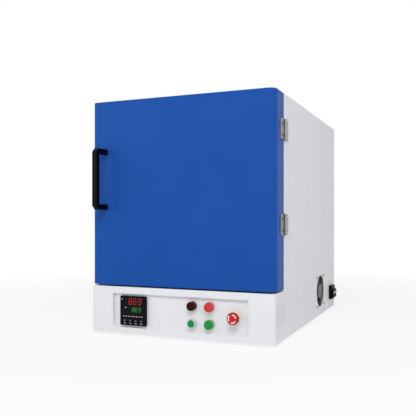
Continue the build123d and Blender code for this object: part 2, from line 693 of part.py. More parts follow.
# Door
def door_skin():
    """Painted door shell with rounded upright edges and folded rims, open at the back."""
    outer = standing(casing_plan(HALF, DOOR_FRONT, DOOR_BACK, DOOR_R), DOOR_BOTTOM, TOP_Z)
    levels = outer.edges().group_by(Axis.Z)
    fold = [e for e in levels[0] + levels[-1] if e.center().Y < DOOR_BACK - OVERCUT]
    outer = fillet(fold, DOOR_FOLD_R)
    plan = casing_plan(INNER_HALF, DOOR_FRONT + SHEET, DOOR_BACK + SHEET, DOOR_R - SHEET)
    skin = outer - standing(plan, DOOR_BOTTOM + SHEET, TOP_Z - SHEET)
    for z in HANDLE_LEG_ZS:
        hole = rod(HANDLE_SCREW_R + SCREW_PLAY, -SHEET - OVERCUT, OVERCUT)
        skin -= out_of_panel(HANDLE_X, z, DOOR_FRONT) * hole
    for z in leaf_screw_zs():
        skin -= out_of_side(LEAF_SCREW_YS[0], z) * rod(LEAF_SCREW_R + SCREW_PLAY, -SHEET - OVERCUT, OVERCUT)
    return skin


def plug_half():
    return CHAMBER_W / 2 - PLUG_PLAY, CHAMBER_H / 2 - PLUG_PLAY


def door_back_pan():
    """Inner door plate round the plug."""
    half_w, half_h = plug_half()
    plate = block(-FITTED_HALF, FITTED_HALF, DOOR_BACK - SHEET, DOOR_BACK,
                  DOOR_BOTTOM + SHEET + SEAM, TOP_Z - SHEET - SEAM)
    return plate - block(-half_w - SEAM, half_w + SEAM, DOOR_BACK - 2 * SHEET, DOOR_BACK + SHEET,
                         CHAMBER_MID - half_h - SEAM, CHAMBER_MID + half_h + SEAM)


def door_insulation():
    """Fibre filling of the door with a pocket for the plug's root."""
    half_w, half_h = plug_half()
    front = DOOR_FRONT + SHEET + SEAM
    back = DOOR_BACK - SHEET - SEAM
    plan = casing_plan(FITTED_HALF, front, back, DOOR_R - SHEET - SEAM)
    fill = standing(plan, DOOR_BOTTOM + SHEET + SEAM, TOP_Z - SHEET - SEAM)
    fill -= block(-half_w - SEAM, half_w + SEAM, DOOR_BACK - PLUG_ROOT, DOOR_BACK,
                  CHAMBER_MID - half_h - SEAM, CHAMBER_MID + half_h + SEAM)
    for z in HANDLE_LEG_ZS:
        room = rod(HANDLE_HEAD_R + OVERCUT, -2 * SHEET - HANDLE_HEAD_T, 0)
        fill -= out_of_panel(HANDLE_X, z, DOOR_FRONT) * room
    for z in leaf_screw_zs():
        fill -= out_of_side(LEAF_SCREW_YS[0], z) * rod(LEAF_SCREW_R + OVERCUT, -LEAF_SCREW_L, 0)
    return fill


def door_plug():
    """Ceramic block that closes the throat: square in the door, tapered in the chamber."""
    half_w, half_h = plug_half()
    root = block(-half_w, half_w, DOOR_BACK - PLUG_ROOT, DOOR_BACK,
                 CHAMBER_MID - half_h, CHAMBER_MID + half_h)
    seat = Plane(origin=(0, DOOR_BACK, CHAMBER_MID), x_dir=(1, 0, 0), z_dir=(0, 1, 0))
    tip = Plane(origin=(0, DOOR_BACK + PLUG_REACH, CHAMBER_MID), x_dir=(1, 0, 0), z_dir=(0, 1, 0))
    wide = seat * Rectangle(2 * half_w, 2 * half_h)
    narrow = tip * Rectangle(2 * (half_w - PLUG_TAPER), 2 * (half_h - PLUG_TAPER))
    plug = root + loft([wide, narrow])
    return fillet(plug.edges().group_by(Axis.Y)[-1], PLUG_SOFT)


def door_gasket():
    """Woven seal round the throat, fixed to the door's back."""
    inner_w = CHAMBER_W + 2 * (THROAT_MARGIN + GASKET_MARGIN)
    inner_h = CHAMBER_H + 2 * (THROAT_MARGIN + GASKET_MARGIN)
    outline = RectangleRounded(inner_w + 2 * GASKET_W, inner_h + 2 * GASKET_W, GASKET_R)
    outline -= RectangleRounded(inner_w, inner_h, GASKET_R - GASKET_W)
    seat = Plane(origin=(0, DOOR_BACK, CHAMBER_MID), x_dir=(1, 0, 0), z_dir=(0, 1, 0))
    return seat * extrude(outline, FRAME_Y - DOOR_BACK - SEAM)


def catch_plate():
    """Steel plate on the door's back that the magnet holds."""
    w = CATCH_W / 2 - CATCH_PLATE_EDGE
    h = CATCH_H / 2 - CATCH_PLATE_EDGE
    return block(-CATCH_X - w, -CATCH_X + w, DOOR_BACK, DOOR_BACK + CATCH_PLATE_T,
                 CHAMBER_MID - h, CHAMBER_MID + h)


def handle():
    """Bridge handle: square bar on two legs, its outer corners cut off."""
    low, high = HANDLE_Z - HANDLE_L / 2, HANDLE_Z + HANDLE_L / 2
    out = DOOR_FRONT - HANDLE_REACH
    back = DOOR_FRONT
    cut = HANDLE_CHAMFER
    outline = Polygon((back, low), (back, low + HANDLE_BAR), (out + HANDLE_BAR, low + HANDLE_BAR),
                      (out + HANDLE_BAR, high - HANDLE_BAR), (back, high - HANDLE_BAR), (back, high),
                      (out + cut, high), (out, high - cut), (out, low + cut), (out + cut, low), align=None)
    side = Plane(origin=(HANDLE_X - HANDLE_BAR / 2, 0, 0), x_dir=(0, 1, 0), z_dir=(1, 0, 0))
    grip = side * extrude(outline, HANDLE_BAR)
    faces = grip.faces().sort_by(Axis.X)
    rims = [e for f in (faces[0], faces[-1]) for e in f.edges() if e.center().Y < back - OVERCUT]
    grip = chamfer(rims, HANDLE_SOFT)
    for z in HANDLE_LEG_ZS:
        hole = rod(HANDLE_SCREW_R + SCREW_PLAY / 2, -OVERCUT, HANDLE_SCREW_IN + OVERCUT)
        grip -= out_of_panel(HANDLE_X, z, back) * hole
    return grip


def handle_screws():
    """Two screws from inside the door into the handle's legs."""
    screws = []
    for z in HANDLE_LEG_ZS:
        spot = out_of_panel(HANDLE_X, z, DOOR_FRONT)
        shank = rod(HANDLE_SCREW_R, -SHEET, HANDLE_SCREW_IN)
        screws.append(spot * (shank + rod(HANDLE_HEAD_R, -SHEET - HANDLE_HEAD_T, -SHEET)))
    return joined(screws)


# Hinges
def leaf_screw_zs():
    return [z + s * LEAF_SCREW_Z for z in HINGE_Z for s in (-1, 1)]


def hinge_leaf(mid, on_door):
    """One leaf: a flat plate on the side panel and its share of the knuckle."""
    side = -1 if on_door else 1
    low, high = mid - HINGE_H / 2, mid + HINGE_H / 2
    inner_low, inner_high = low + KNUCKLE_END, high - KNUCKLE_END
    far = PIN_Y + side * (KNUCKLE_R + HINGE_LEAF)
    near = PIN_Y + side * (KNUCKLE_R + HINGE_CLEAR)
    y0, y1 = sorted((near, far))
    leaf = block(HALF, HALF + LEAF_T, y0, y1, low, high)
    rows = leaf.edges().filter_by(Axis.X).group_by(Axis.Y)
    leaf = fillet(rows[0] if on_door else rows[-1], LEAF_CORNER_R)
    if on_door:
        spans = [(inner_low + SEAM / 2, inner_high - SEAM / 2)]
    else:
        spans = [(low, inner_low - SEAM / 2), (inner_high + SEAM / 2, high)]
    tab0, tab1 = sorted((PIN_Y, near))
    for z0, z1 in spans:
        leaf += block(HALF + HINGE_CLEAR, HALF + LEAF_T, tab0, tab1, z0, z1)
        leaf += Pos(PIN_X, PIN_Y, 0) * rod(KNUCKLE_R, z0, z1)
    leaf -= Pos(PIN_X, PIN_Y, 0) * rod(PIN_R + PIN_PLAY, low - OVERCUT, high + OVERCUT)
    screw_y = LEAF_SCREW_YS[0] if on_door else LEAF_SCREW_YS[1]
    for z in (mid - LEAF_SCREW_Z, mid + LEAF_SCREW_Z):
        leaf -= out_of_side(screw_y, z) * rod(LEAF_SCREW_R + SCREW_PLAY, -OVERCUT, LEAF_T + OVERCUT)
    return leaf


def hinge_pins():
    """Pins with a small head at each end."""
    pins = []
    for mid in HINGE_Z:
        low, high = mid - HINGE_H / 2, mid + HINGE_H / 2
        pin = rod(PIN_R, low, high)
        pin += rod(PIN_HEAD_R, low - PIN_HEAD_T, low) + rod(PIN_HEAD_R, high, high + PIN_HEAD_T)
        pins.append(Pos(PIN_X, PIN_Y, 0) * pin)
    return joined(pins)


def leaf_screws(y):
    """Low-headed screws through one row of hinge leaves."""
    head = chamfer(rod(LEAF_HEAD_R, 0, LEAF_HEAD_T).edges().group_by(Axis.Z)[-1], LEAF_HEAD_T / 2)
    screw = head + rod(LEAF_SCREW_R, LEAF_T - LEAF_SCREW_L, 0)
    return joined(out_of_side(y, z, HALF + LEAF_T) * screw for z in leaf_screw_zs())


# Control devices
def controller_case():
    """Panel controller: bezel with a window recess and four key wells, and its body behind the plate."""
    bezel = extrude(RectangleRounded(CONTROLLER_SIZE, CONTROLLER_SIZE, CONTROLLER_CORNER_R), CONTROLLER_PROUD)
    bezel = chamfer(bezel.edges().group_by(Axis.Z)[-1], CONTROLLER_SOFT)
    body = Pos(0, 0, -CONTROLLER_BEHIND / 2) * Box(CONTROLLER_BODY, CONTROLLER_BODY, CONTROLLER_BEHIND)
    case = bezel + body
    case -= Pos(0, WINDOW_MID, CONTROLLER_PROUD) * Box(WINDOW_W, WINDOW_H, 2 * WINDOW_DEPTH)
    well = Box(KEY_W + 2 * SEAM, KEY_H + 2 * SEAM, 2 * KEY_WELL)
    for x in key_xs():
        case -= Pos(x, -KEY_DROP, CONTROLLER_PROUD) * well
    return out_of_panel(CONTROLLER_X, CONTROLLER_Z) * case


def controller_window():
    """Dark display window in the controller's bezel."""
    size = (WINDOW_W - 2 * CUT_PLAY, WINDOW_H - 2 * CUT_PLAY, WINDOW_T)
    level = CONTROLLER_PROUD - WINDOW_DEPTH + WINDOW_T / 2
    return out_of_panel(CONTROLLER_X, CONTROLLER_Z) * (Pos(0, WINDOW_MID, level) * Box(*size))


def key_xs():
    return [KEY_LEFT - CONTROLLER_SIZE / 2 + i * KEY_PITCH for i in range(len(KEY_NAMES))]


def controller_key(x):
    """One soft key in its well, with room below it for its travel."""
    bottom = CONTROLLER_PROUD - KEY_WELL + KEY_TRAVEL + CUT_PLAY
    height = CONTROLLER_PROUD + KEY_PROUD - bottom
    key = Pos(x, -KEY_DROP, bottom + height / 2) * Box(KEY_W, KEY_H, height)
    key = chamfer(key.edges().group_by(Axis.Z)[-1], KEY_PROUD / 2)
    return out_of_panel(CONTROLLER_X, CONTROLLER_Z) * key


def device_back():
    """Threaded barrel, ring nut and contact block behind the plate."""
    back = rod(BARREL_R, -BLOCK_NEAR, 0) + rod(NUT_R, -SHEET - NUT_T, -SHEET)
    return back + Pos(0, 0, -(BLOCK_NEAR + BLOCK_FAR) / 2) * Box(BLOCK_W, BLOCK_W, BLOCK_FAR - BLOCK_NEAR)


def stop_button_body():
    """Housing of the stop button: flange and guide collar."""
    body = device_back() + rod(FLANGE_R, 0, FLANGE_T) + rod(STOP_COLLAR_R, FLANGE_T, STOP_COLLAR_OUT)
    body -= rod(STEM_R + STEM_PLAY, -STEM_WELL, STOP_COLLAR_OUT + OVERCUT)
    return out_of_panel(*STOP_AT) * body


def stop_button():
    """Wide red cap that slides over the collar on its stem."""
    cap = rod(STOP_CAP_R, STOP_SKIRT_FROM, HEAD_OUT)
    cap = fillet(cap.edges().group_by(Axis.Z)[-1], CAP_SOFT)
    cap -= rod(STOP_COLLAR_R + CAP_PLAY, STOP_SKIRT_FROM - OVERCUT, HEAD_OUT - STOP_FACE_T)
    return out_of_panel(*STOP_AT) * (cap + rod(STEM_R, -STEM_IN, HEAD_OUT - STOP_FACE_T))


def start_button_body():
    """Housing of the start button: a bright shroud round a smaller cap, with a locating notch at the top."""
    body = device_back() + rod(FLANGE_R, 0, START_COLLAR_OUT)
    body -= rod(START_CAP_R + CAP_PLAY, FLANGE_T, START_COLLAR_OUT + OVERCUT)
    body -= rod(STEM_R + STEM_PLAY, -STEM_WELL, FLANGE_T + OVERCUT)
    notch = Box(START_NOTCH_W, FLANGE_R, 2 * START_NOTCH_L)
    body -= Pos(0, FLANGE_R, START_COLLAR_OUT) * notch
    return out_of_panel(*START_AT) * body


def start_button():
    """Green cap inside the shroud, on its stem."""
    cap = rod(START_CAP_R, START_CAP_FROM, START_CAP_OUT)
    cap = fillet(cap.edges().group_by(Axis.Z)[-1], CAP_SOFT)
    return out_of_panel(*START_AT) * (cap + rod(STEM_R, -STEM_IN, START_CAP_FROM))


def lamp_bodies():
    """Housings of the two indicator lamps."""
    body = device_back() + rod(FLANGE_R, 0, FLANGE_T)
    return joined(out_of_panel(*at) * body for at in (RED_LAMP_AT, GREEN_LAMP_AT))


def lamp_lens(at):
    """Coloured lamp lens with a softened front edge."""
    lens = rod(LENS_R, FLANGE_T, HEAD_OUT)
    return out_of_panel(*at) * fillet(lens.edges().group_by(Axis.Z)[-1], CAP_SOFT)


def estop_body():
    """Housing of the emergency stop: collar, neck and guide bore."""
    body = device_back() + rod(ESTOP_COLLAR_R, 0, ESTOP_COLLAR_T)
    body += rod(ESTOP_NECK_R, ESTOP_COLLAR_T, ESTOP_NECK_OUT)
    body -= rod(ESTOP_STEM_R + STEM_PLAY, -ESTOP_WELL, ESTOP_NECK_OUT + OVERCUT)
    return out_of_panel(*ESTOP_AT) * body


def estop_stem():
    """Sliding stem with the tip that the head turns on."""
    stem = rod(ESTOP_STEM_R, -ESTOP_STEM_IN, ESTOP_STEM_OUT)
    return out_of_panel(*ESTOP_AT) * (stem + rod(ESTOP_TIP_R, ESTOP_STEM_OUT, ESTOP_STEM_OUT + ESTOP_TIP_L))


def estop_head():
    """Mushroom head: a turned cap with a flared skirt, a dished face and a three-lobed grip in the dish."""
    base = ESTOP_STEM_OUT + CUT_PLAY
    top = base + ESTOP_HEAD_T
    head = rod(ESTOP_HEAD_R, base, top)
    head = chamfer(head.edges().group_by(Axis.Z)[0], ESTOP_FLARE, ESTOP_FLARE + OVERCUT)
    head = fillet(head.edges().group_by(Axis.Z)[-1], ESTOP_CROWN_R)
    dish_half = ESTOP_HEAD_R - ESTOP_CROWN_R - ESTOP_DISH_EDGE
    dish_r = (dish_half ** 2 + ESTOP_DISH ** 2) / (2 * ESTOP_DISH)
    head -= Pos(0, 0, top + dish_r - ESTOP_DISH) * Sphere(dish_r)
    for i in range(ESTOP_LOBES):
        turn = radians(90 + i * 360 / ESTOP_LOBES)
        spot = Pos(ESTOP_LOBE_OUT * cos(turn), ESTOP_LOBE_OUT * sin(turn), 0)
        head += spot * rod(ESTOP_LOBE_R, top - 2 * ESTOP_DISH, top)
    head -= rod(ESTOP_TIP_R + TURN_PLAY, base - OVERCUT, ESTOP_STEM_OUT + ESTOP_TIP_L + 2 * CUT_PLAY)
    return out_of_panel(*ESTOP_AT) * head


# Cooling fan
def fan_corners():
    half = FAN_SIZE / 2 - FAN_SCREW_INSET
    return [(FAN_Y + sy * half, FAN_Z + sz * half) for sy in (-1, 1) for sz in (-1, 1)]


def fan_frame():
    """Square fan housing with its duct, struts, hub plate and stub shaft; local Z points outward."""
    plate = RectangleRounded(FAN_SIZE, FAN_SIZE, FAN_CORNER_R) - Circle(FAN_DUCT_R)
    half = FAN_SIZE / 2 - FAN_SCREW_INSET
    for sx in (-1, 1):
        for sy in (-1, 1):
            plate -= Pos(sx * half, sy * half) * Circle(SCREW_R + SCREW_PLAY)
    body = Pos(0, 0, -FAN_DEPTH) * extrude(plate, FAN_DEPTH)
    spider = Sketch() + Circle(FAN_HUB_R)
    reach = FAN_DUCT_R + FAN_WALL / 2
    for i in range(FAN_STRUTS):
        arm = Pos(reach / 2, 0) * Rectangle(reach, FAN_STRUT_W)
        spider += Rot(0, 0, FAN_STRUT_TURN + i * 360 / FAN_STRUTS) * arm
    body += Pos(0, 0, -FAN_HUB_PLATE) * extrude(spider, FAN_HUB_PLATE)
    groove = Circle(FAN_HUB_GROOVE_R) - Circle(FAN_HUB_GROOVE_R - FAN_HUB_GROOVE)
    body -= Pos(0, 0, -FAN_HUB_GROOVE) * extrude(groove, 2 * FAN_HUB_GROOVE)
    body += rod(FAN_SHAFT_R, -FAN_HUB_PLATE - FAN_SHAFT_L, -FAN_HUB_PLATE)
    return out_of_side(FAN_Y, FAN_Z, INNER_HALF) * body


def blade_section(radius, pitch, mid):
    """Cambered blade section on a plane at the given radius."""
    half = FAN_BLADE_CHORD / 2
    camber = FAN_BLADE_CAMBER
    upper = ThreePointArc((-half, 0), (0, camber + FAN_BLADE_T / 2), (half, 0))
    lower = ThreePointArc((half, 0), (0, camber - FAN_BLADE_T / 2), (-half, 0))
    chord = (0, cos(radians(pitch)), sin(radians(pitch)))
    return Plane(origin=(radius, 0, mid), x_dir=chord, z_dir=(1, 0, 0)) * make_face([upper, lower])


def fan_rotor():
    """Hub with twisted, cambered blades, running on the stub shaft."""
    top = -FAN_HUB_PLATE - FAN_RUN_GAP
    bottom = -FAN_DEPTH + FAN_ROTOR_GAP
    mid = (top + bottom) / 2
    hub = rod(FAN_HUB_R, bottom, top)
    rotor = fillet(hub.edges().group_by(Axis.Z)[0], FAN_ROTOR_SOFT)
    root = blade_section(FAN_HUB_R - FAN_BLADE_SUNK, FAN_BLADE_ROOT_PITCH, mid)
    tip = blade_section(FAN_BLADE_R, FAN_BLADE_TIP_PITCH, mid)
    blade = loft([root, tip]) & rod(FAN_BLADE_R, bottom, top)
    for i in range(FAN_BLADES):
        rotor += Rot(0, 0, i * 360 / FAN_BLADES) * blade
    rotor -= rod(FAN_SHAFT_R + TURN_PLAY, -FAN_HUB_PLATE - FAN_SHAFT_L - FAN_RUN_GAP, top + OVERCUT)
    return out_of_side(FAN_Y, FAN_Z, INNER_HALF) * rotor


def fan_screws():
    """Four screws through the side panel into the fan housing."""
    return joined(out_of_side(y, z) * pan_screw() for y, z in fan_corners())


# Mains switch
def mains_breaker():
    """Breaker body through the side panel: base, raised nose and the toggle's slot."""
    rear_w = BREAKER_W - 2 * BREAKER_EDGE
    rear_h = BREAKER_H - 2 * BREAKER_EDGE
    body = Pos(0, 0, BREAKER_OUT / 2) * Box(BREAKER_W, BREAKER_H, BREAKER_OUT)
    body = chamfer(body.edges().group_by(Axis.Z)[-1], BREAKER_SOFT)
    nose = Pos(0, -TOGGLE_DROP, BREAKER_NOSE_OUT / 2) * Box(BREAKER_W, BREAKER_NOSE_H, BREAKER_NOSE_OUT)
    body += chamfer(nose.edges().group_by(Axis.Z)[-1], BREAKER_SOFT)
    body += Pos(0, 0, -BREAKER_BEHIND / 2) * Box(rear_w, rear_h, BREAKER_BEHIND)
    slot = Box(TOGGLE_W + 2 * SEAM, TOGGLE_SLOT_H, TOGGLE_SLOT_DEPTH + OVERCUT)
    body -= Pos(0, -TOGGLE_DROP, BREAKER_NOSE_OUT - (TOGGLE_SLOT_DEPTH - OVERCUT) / 2) * slot
    body = out_of_side(BREAKER_Y, BREAKER_Z) * body
    return body - toggle_axle(TOGGLE_PIN_R + TURN_PLAY, TOGGLE_PIN_L + CUT_PLAY + SEAM)


def toggle_axle(radius, reach):
    """Cylinder along Y on the toggle's axis, a given reach past each end of the toggle."""
    half = TOGGLE_W / 2 + reach
    return out_of_rear(TOGGLE_X, TOGGLE_Z, BREAKER_Y - half) * rod(radius, 0, 2 * half)


def breaker_toggle():
    """Toggle bar: a drum on its axle with a lever, tilted up when switched on."""
    lever = block(0, TOGGLE_REACH, -TOGGLE_W / 2, TOGGLE_W / 2, -TOGGLE_T / 2, TOGGLE_T / 2)
    lever = chamfer(lever.edges().group_by(Axis.X)[-1], TOGGLE_T / 4)
    lever = Pos(TOGGLE_X, BREAKER_Y, TOGGLE_Z) * Rot(0, -TOGGLE_TILT, 0) * lever
    return lever + toggle_axle(TOGGLE_DRUM_R, 0) + toggle_axle(TOGGLE_PIN_R, TOGGLE_PIN_L)


# Rear gland and electronics
def cable_gland():
    """Cable gland in the rear panel: hexagon, domed nut and barrel round a clear bore."""
    hexagon = extrude(RegularPolygon(GLAND_HEX / 2, 6, major_radius=False), GLAND_HEX_T)
    dome = rod(GLAND_DOME_R, GLAND_HEX_T, GLAND_OUT)
    dome = fillet(dome.edges().group_by(Axis.Z)[-1], GLAND_DOME_SOFT)
    body = hexagon + dome + rod(GLAND_BARREL_R, -GLAND_IN, 0)
    body += rod(GLAND_HEX / 2, -SHEET - NUT_T, -SHEET)
    body -= rod(GLAND_BORE_R, -GLAND_IN - OVERCUT, GLAND_OUT + OVERCUT)
    return out_of_rear(GLAND_X, GLAND_Z) * body


def relay_heatsink():
    """Finned heat sink on the base pan, beside the fan."""
    base_z = BASE_Z + SHEET
    sink = block(-SINK_W / 2, SINK_W / 2, -SINK_L / 2, SINK_L / 2, SINK_H - SINK_BASE, SINK_H)
    for i in range(SINK_FINS):
        x = -SINK_W / 2 + SINK_FIN_T / 2 + i * (SINK_W - SINK_FIN_T) / (SINK_FINS - 1)
        sink += block(x - SINK_FIN_T / 2, x + SINK_FIN_T / 2, -SINK_L / 2, SINK_L / 2, 0, SINK_H - SINK_BASE)
    return Pos(SINK_X, FAN_Y, base_z) * sink


def power_relay():
    """Solid-state relay on the heat sink."""
    z = BASE_Z + SHEET + SINK_H
    relay = Pos(SINK_X, FAN_Y, z + RELAY_H / 2) * Box(RELAY_W, RELAY_L, RELAY_H)
    return chamfer(relay.edges().group_by(Axis.Z)[-1], RELAY_SOFT)


def all_parts():
    """Every node by name, in the drawing frame."""
    right_insulation = insulation_side()
    right_strip = heating_strip()
    parts = {
        "left_side_panel": side_panel(False),
        "right_side_panel": side_panel(True),
        "console_front": console_front(),
        "control_plate": control_plate(),
        "base_pan": base_pan(),
        "feet": feet(),
        "deck_plate": deck_plate(),
        "front_frame": front_frame(),
        "top_cover": top_cover(),
        "rear_panel": rear_panel(),
        "cover_screws": cover_screws(),
        "inner_casing": inner_casing(),
        "insulation_floor": insulation_floor(),
        "insulation_roof": insulation_roof(),
        "insulation_left": mirror(right_insulation, Plane.YZ),
        "insulation_right": right_insulation,
        "insulation_back": insulation_back(),
        "hearth_plate": hearth_plate(),
        "left_element": mirror(right_strip, Plane.YZ),
        "right_element": right_strip,
        "terminal_bushes": terminal_bushes(),
        "thermocouple": thermocouple(),
        "magnetic_catch": magnetic_catch(),
        "frame_leaves": joined(hinge_leaf(z, False) for z in HINGE_Z),
        "hinge_pins": hinge_pins(),
        "frame_hinge_screws": leaf_screws(LEAF_SCREW_YS[1]),
        "controller_case": controller_case(),
        "controller_window": controller_window(),
        "stop_button_body": stop_button_body(),
        "start_button_body": start_button_body(),
        "lamp_bodies": lamp_bodies(),
        "red_lamp_lens": lamp_lens(RED_LAMP_AT),
        "green_lamp_lens": lamp_lens(GREEN_LAMP_AT),
        "estop_body": estop_body(),
        "fan_frame": fan_frame(),
        "fan_screws": fan_screws(),
        "mains_breaker": mains_breaker(),
        "cable_gland": cable_gland(),
        "relay_heatsink": relay_heatsink(),
        "power_relay": power_relay(),
        "door_skin": door_skin(),
        "door_back_pan": door_back_pan(),
        "door_insulation": door_insulation(),
        "door_plug": door_plug(),
        "door_gasket": door_gasket(),
        "catch_plate": catch_plate(),
        "door_leaves": joined(hinge_leaf(z, True) for z in HINGE_Z),
        "door_hinge_screws": leaf_screws(LEAF_SCREW_YS[0]),
        "handle": handle(),
        "handle_screws": handle_screws(),
        "fan_rotor": fan_rotor(),
        "stop_button": stop_button(),
        "start_button": start_button(),
        "estop_stem": estop_stem(),
        "estop_head": estop_head(),
        "breaker_toggle": breaker_toggle(),
    }
    for name, x in zip(KEY_NAMES, key_xs()):
        parts[name] = controller_key(x)
    return parts


def origin_shift(parts):
    """Move that puts the origin under the middle of the whole part, at the level of the feet."""
    boxes = [part.bounding_box() for part in parts.values()]
    mid_x = (min(b.min.X for b in boxes) + max(b.max.X for b in boxes)) / 2
    mid_y = (min(b.min.Y for b in boxes) + max(b.max.Y for b in boxes)) / 2
    return Pos(-mid_x, -mid_y, -min(b.min.Z for b in boxes))


def main():
    os.makedirs("parts", exist_ok=True)
    parts = all_parts()
    shift = origin_shift(parts)
    for name, part in parts.items():
        export_step(shift * part, f"parts/{name}.step")
    print("nodes", len(parts), "origin moved by", shift.position)


if __name__ == "__main__":
    main()
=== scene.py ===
# %% [markdown]
# # A laboratory muffle furnace
# The furnace comes into Blender as a finished set of machine parts: panels, door, hinges, fan and buttons
# stand where they belong and already move together. This file dresses them. It gives each part a finish,
# adds the small things that a maker prints, screws or snaps on, and sets up the light and the camera.
# Blender counts in metres, so MM turns millimetres into metres wherever a real size is written.

import bmesh
import bpy
from math import cos, pi, radians, sin, tan
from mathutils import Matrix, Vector


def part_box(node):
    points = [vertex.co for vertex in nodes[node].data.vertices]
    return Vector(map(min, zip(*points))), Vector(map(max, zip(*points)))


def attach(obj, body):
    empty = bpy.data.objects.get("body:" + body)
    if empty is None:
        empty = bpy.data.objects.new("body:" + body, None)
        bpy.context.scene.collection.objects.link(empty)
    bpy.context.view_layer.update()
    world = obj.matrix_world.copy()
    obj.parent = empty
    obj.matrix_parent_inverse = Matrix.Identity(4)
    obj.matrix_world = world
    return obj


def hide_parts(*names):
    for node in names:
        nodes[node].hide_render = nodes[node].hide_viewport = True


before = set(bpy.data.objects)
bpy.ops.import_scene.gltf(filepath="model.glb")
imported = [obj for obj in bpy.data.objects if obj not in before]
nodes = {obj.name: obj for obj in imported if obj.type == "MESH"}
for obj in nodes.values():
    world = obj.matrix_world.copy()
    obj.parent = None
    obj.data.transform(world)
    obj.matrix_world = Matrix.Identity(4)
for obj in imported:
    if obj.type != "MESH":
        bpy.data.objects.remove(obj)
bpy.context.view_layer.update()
MM = 0.001


def middle_of(name):
    """The middle of the box round a part."""
    low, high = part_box(name)
    return (low + high) / 2


# %% [markdown]
# ## Camera
# A product photographer keeps the camera level, so that the upright edges of a cabinet stay parallel, and
# slides the picture with the lens shift instead of tilting. The place below was worked out from the slopes
# of the cabinet's edges: about two metres in front and 0.8 to the right, with a normal lens of 48 mm.

# %% Camera
CAMERA_PLACE = (0.81087, -1.99243, 0.38545)
CAMERA_TURN = 21.144
CAMERA_LENS = 48.28
CAMERA_SHIFT = (-0.0769, 0.0262)
SENSOR_WIDTH = 36.0
CAMERA_RANGE = (0.05, 100.0)

bpy.ops.object.camera_add(location=CAMERA_PLACE, rotation=(pi / 2, 0, radians(CAMERA_TURN)))
camera = bpy.context.object
camera.name = "camera"
camera.data.lens = CAMERA_LENS
camera.data.sensor_width = SENSOR_WIDTH
camera.data.shift_x, camera.data.shift_y = CAMERA_SHIFT
camera.data.clip_start, camera.data.clip_end = CAMERA_RANGE
bpy.context.scene.camera = camera
bpy.context.scene.view_settings.view_transform = "Standard"
print("camera", CAMERA_PLACE)

# %% [markdown]
# ## Studio
# The furnace stands on a white sweep, with soft lamps that draw its shapes and white surroundings that fill
# the shadows. The surroundings show as pure white to the camera and in reflections, but light the object at
# less than that, so that pale paint keeps its tone. They are a little cool and the lamps a little warm, as
# daylight and studio lamps are.

# %% Studio helpers
WHITE = (1.0, 1.0, 1.0, 1.0)
SKY_TINT = (0.96, 0.985, 1.03, 1.0)
LAMP_TINT = (1.0, 0.985, 0.96)
WORLD_LIGHT = 0.513


def seen_directly(tree):
    """A value of 1 for rays that show the surroundings, straight, mirrored or through glass."""
    path = tree.nodes.new("ShaderNodeLightPath")
    total = path.outputs["Is Camera Ray"]
    for kind in ("Is Glossy Ray", "Is Transmission Ray"):
        either = tree.nodes.new("ShaderNodeMath")
        either.operation = "MAXIMUM"
        tree.links.new(total, either.inputs[0])
        tree.links.new(path.outputs[kind], either.inputs[1])
        total = either.outputs[0]
    return total


def softbox(name, place, aim, size, power):
    """A soft rectangular lamp that looks at a point."""
    turn = (Vector(aim) - Vector(place)).to_track_quat("-Z", "Y").to_euler()
    bpy.ops.object.light_add(type="AREA", location=place, rotation=turn)
    lamp = bpy.context.object
    lamp.name = name
    lamp.data.shape = "RECTANGLE"
    lamp.data.size, lamp.data.size_y = size
    lamp.data.energy = power
    lamp.data.color = LAMP_TINT


# %% World
world = bpy.data.worlds.new("studio")
bpy.context.scene.world = world
world.use_nodes = True
tree = world.node_tree
lighting = tree.nodes["Background"]
lighting.inputs["Color"].default_value = SKY_TINT
lighting.inputs["Strength"].default_value = WORLD_LIGHT
shown = tree.nodes.new("ShaderNodeBackground")
shown.inputs["Color"].default_value = WHITE
shown.inputs["Strength"].default_value = 1.0
choice = tree.nodes.new("ShaderNodeMixShader")
tree.links.new(seen_directly(tree), choice.inputs["Fac"])
tree.links.new(lighting.outputs[0], choice.inputs[1])
tree.links.new(shown.outputs[0], choice.inputs[2])
tree.links.new(choice.outputs[0], tree.nodes["World Output"].inputs["Surface"])
print("world light", WORLD_LIGHT)

# %% [markdown]
# The floor is white paper that glows by itself. Near the furnace a fifth of its look is plain matt paper,
# which keeps a soft contact shadow. Further out the glow takes over, so that the floor runs into the white
# behind with no line where it ends.

# %% Floor
FLOOR_SIZE = 60.0
PAPER = (0.86, 0.86, 0.86, 1.0)
FLOOR_GLOW = 0.8
SHADOW_REACH = (0.7, 2.4)

bpy.ops.mesh.primitive_plane_add(size=FLOOR_SIZE)
floor = bpy.context.object
floor.name = "floor"
paper = bpy.data.materials.new("white_sweep")
paper.use_nodes = True
tree = paper.node_tree
matt = tree.nodes["Principled BSDF"]
matt.inputs["Base Color"].default_value = PAPER
matt.inputs["Roughness"].default_value = 0.9
matt.inputs["Specular IOR Level"].default_value = 0.0
glow = tree.nodes.new("ShaderNodeEmission")
glow.inputs["Color"].default_value = WHITE
space = tree.nodes.new("ShaderNodeTexCoord")
distance = tree.nodes.new("ShaderNodeVectorMath")
distance.operation = "LENGTH"
fade = tree.nodes.new("ShaderNodeMapRange")
fade.interpolation_type = "SMOOTHSTEP"
fade.inputs["From Min"].default_value, fade.inputs["From Max"].default_value = SHADOW_REACH
fade.inputs["To Min"].default_value, fade.inputs["To Max"].default_value = FLOOR_GLOW, 1.0
share = tree.nodes.new("ShaderNodeMath")
share.operation = "MULTIPLY"
choice = tree.nodes.new("ShaderNodeMixShader")
tree.links.new(space.outputs["Object"], distance.inputs[0])
tree.links.new(distance.outputs["Value"], fade.inputs["Value"])
tree.links.new(seen_directly(tree), share.inputs[0])
tree.links.new(fade.outputs["Result"], share.inputs[1])
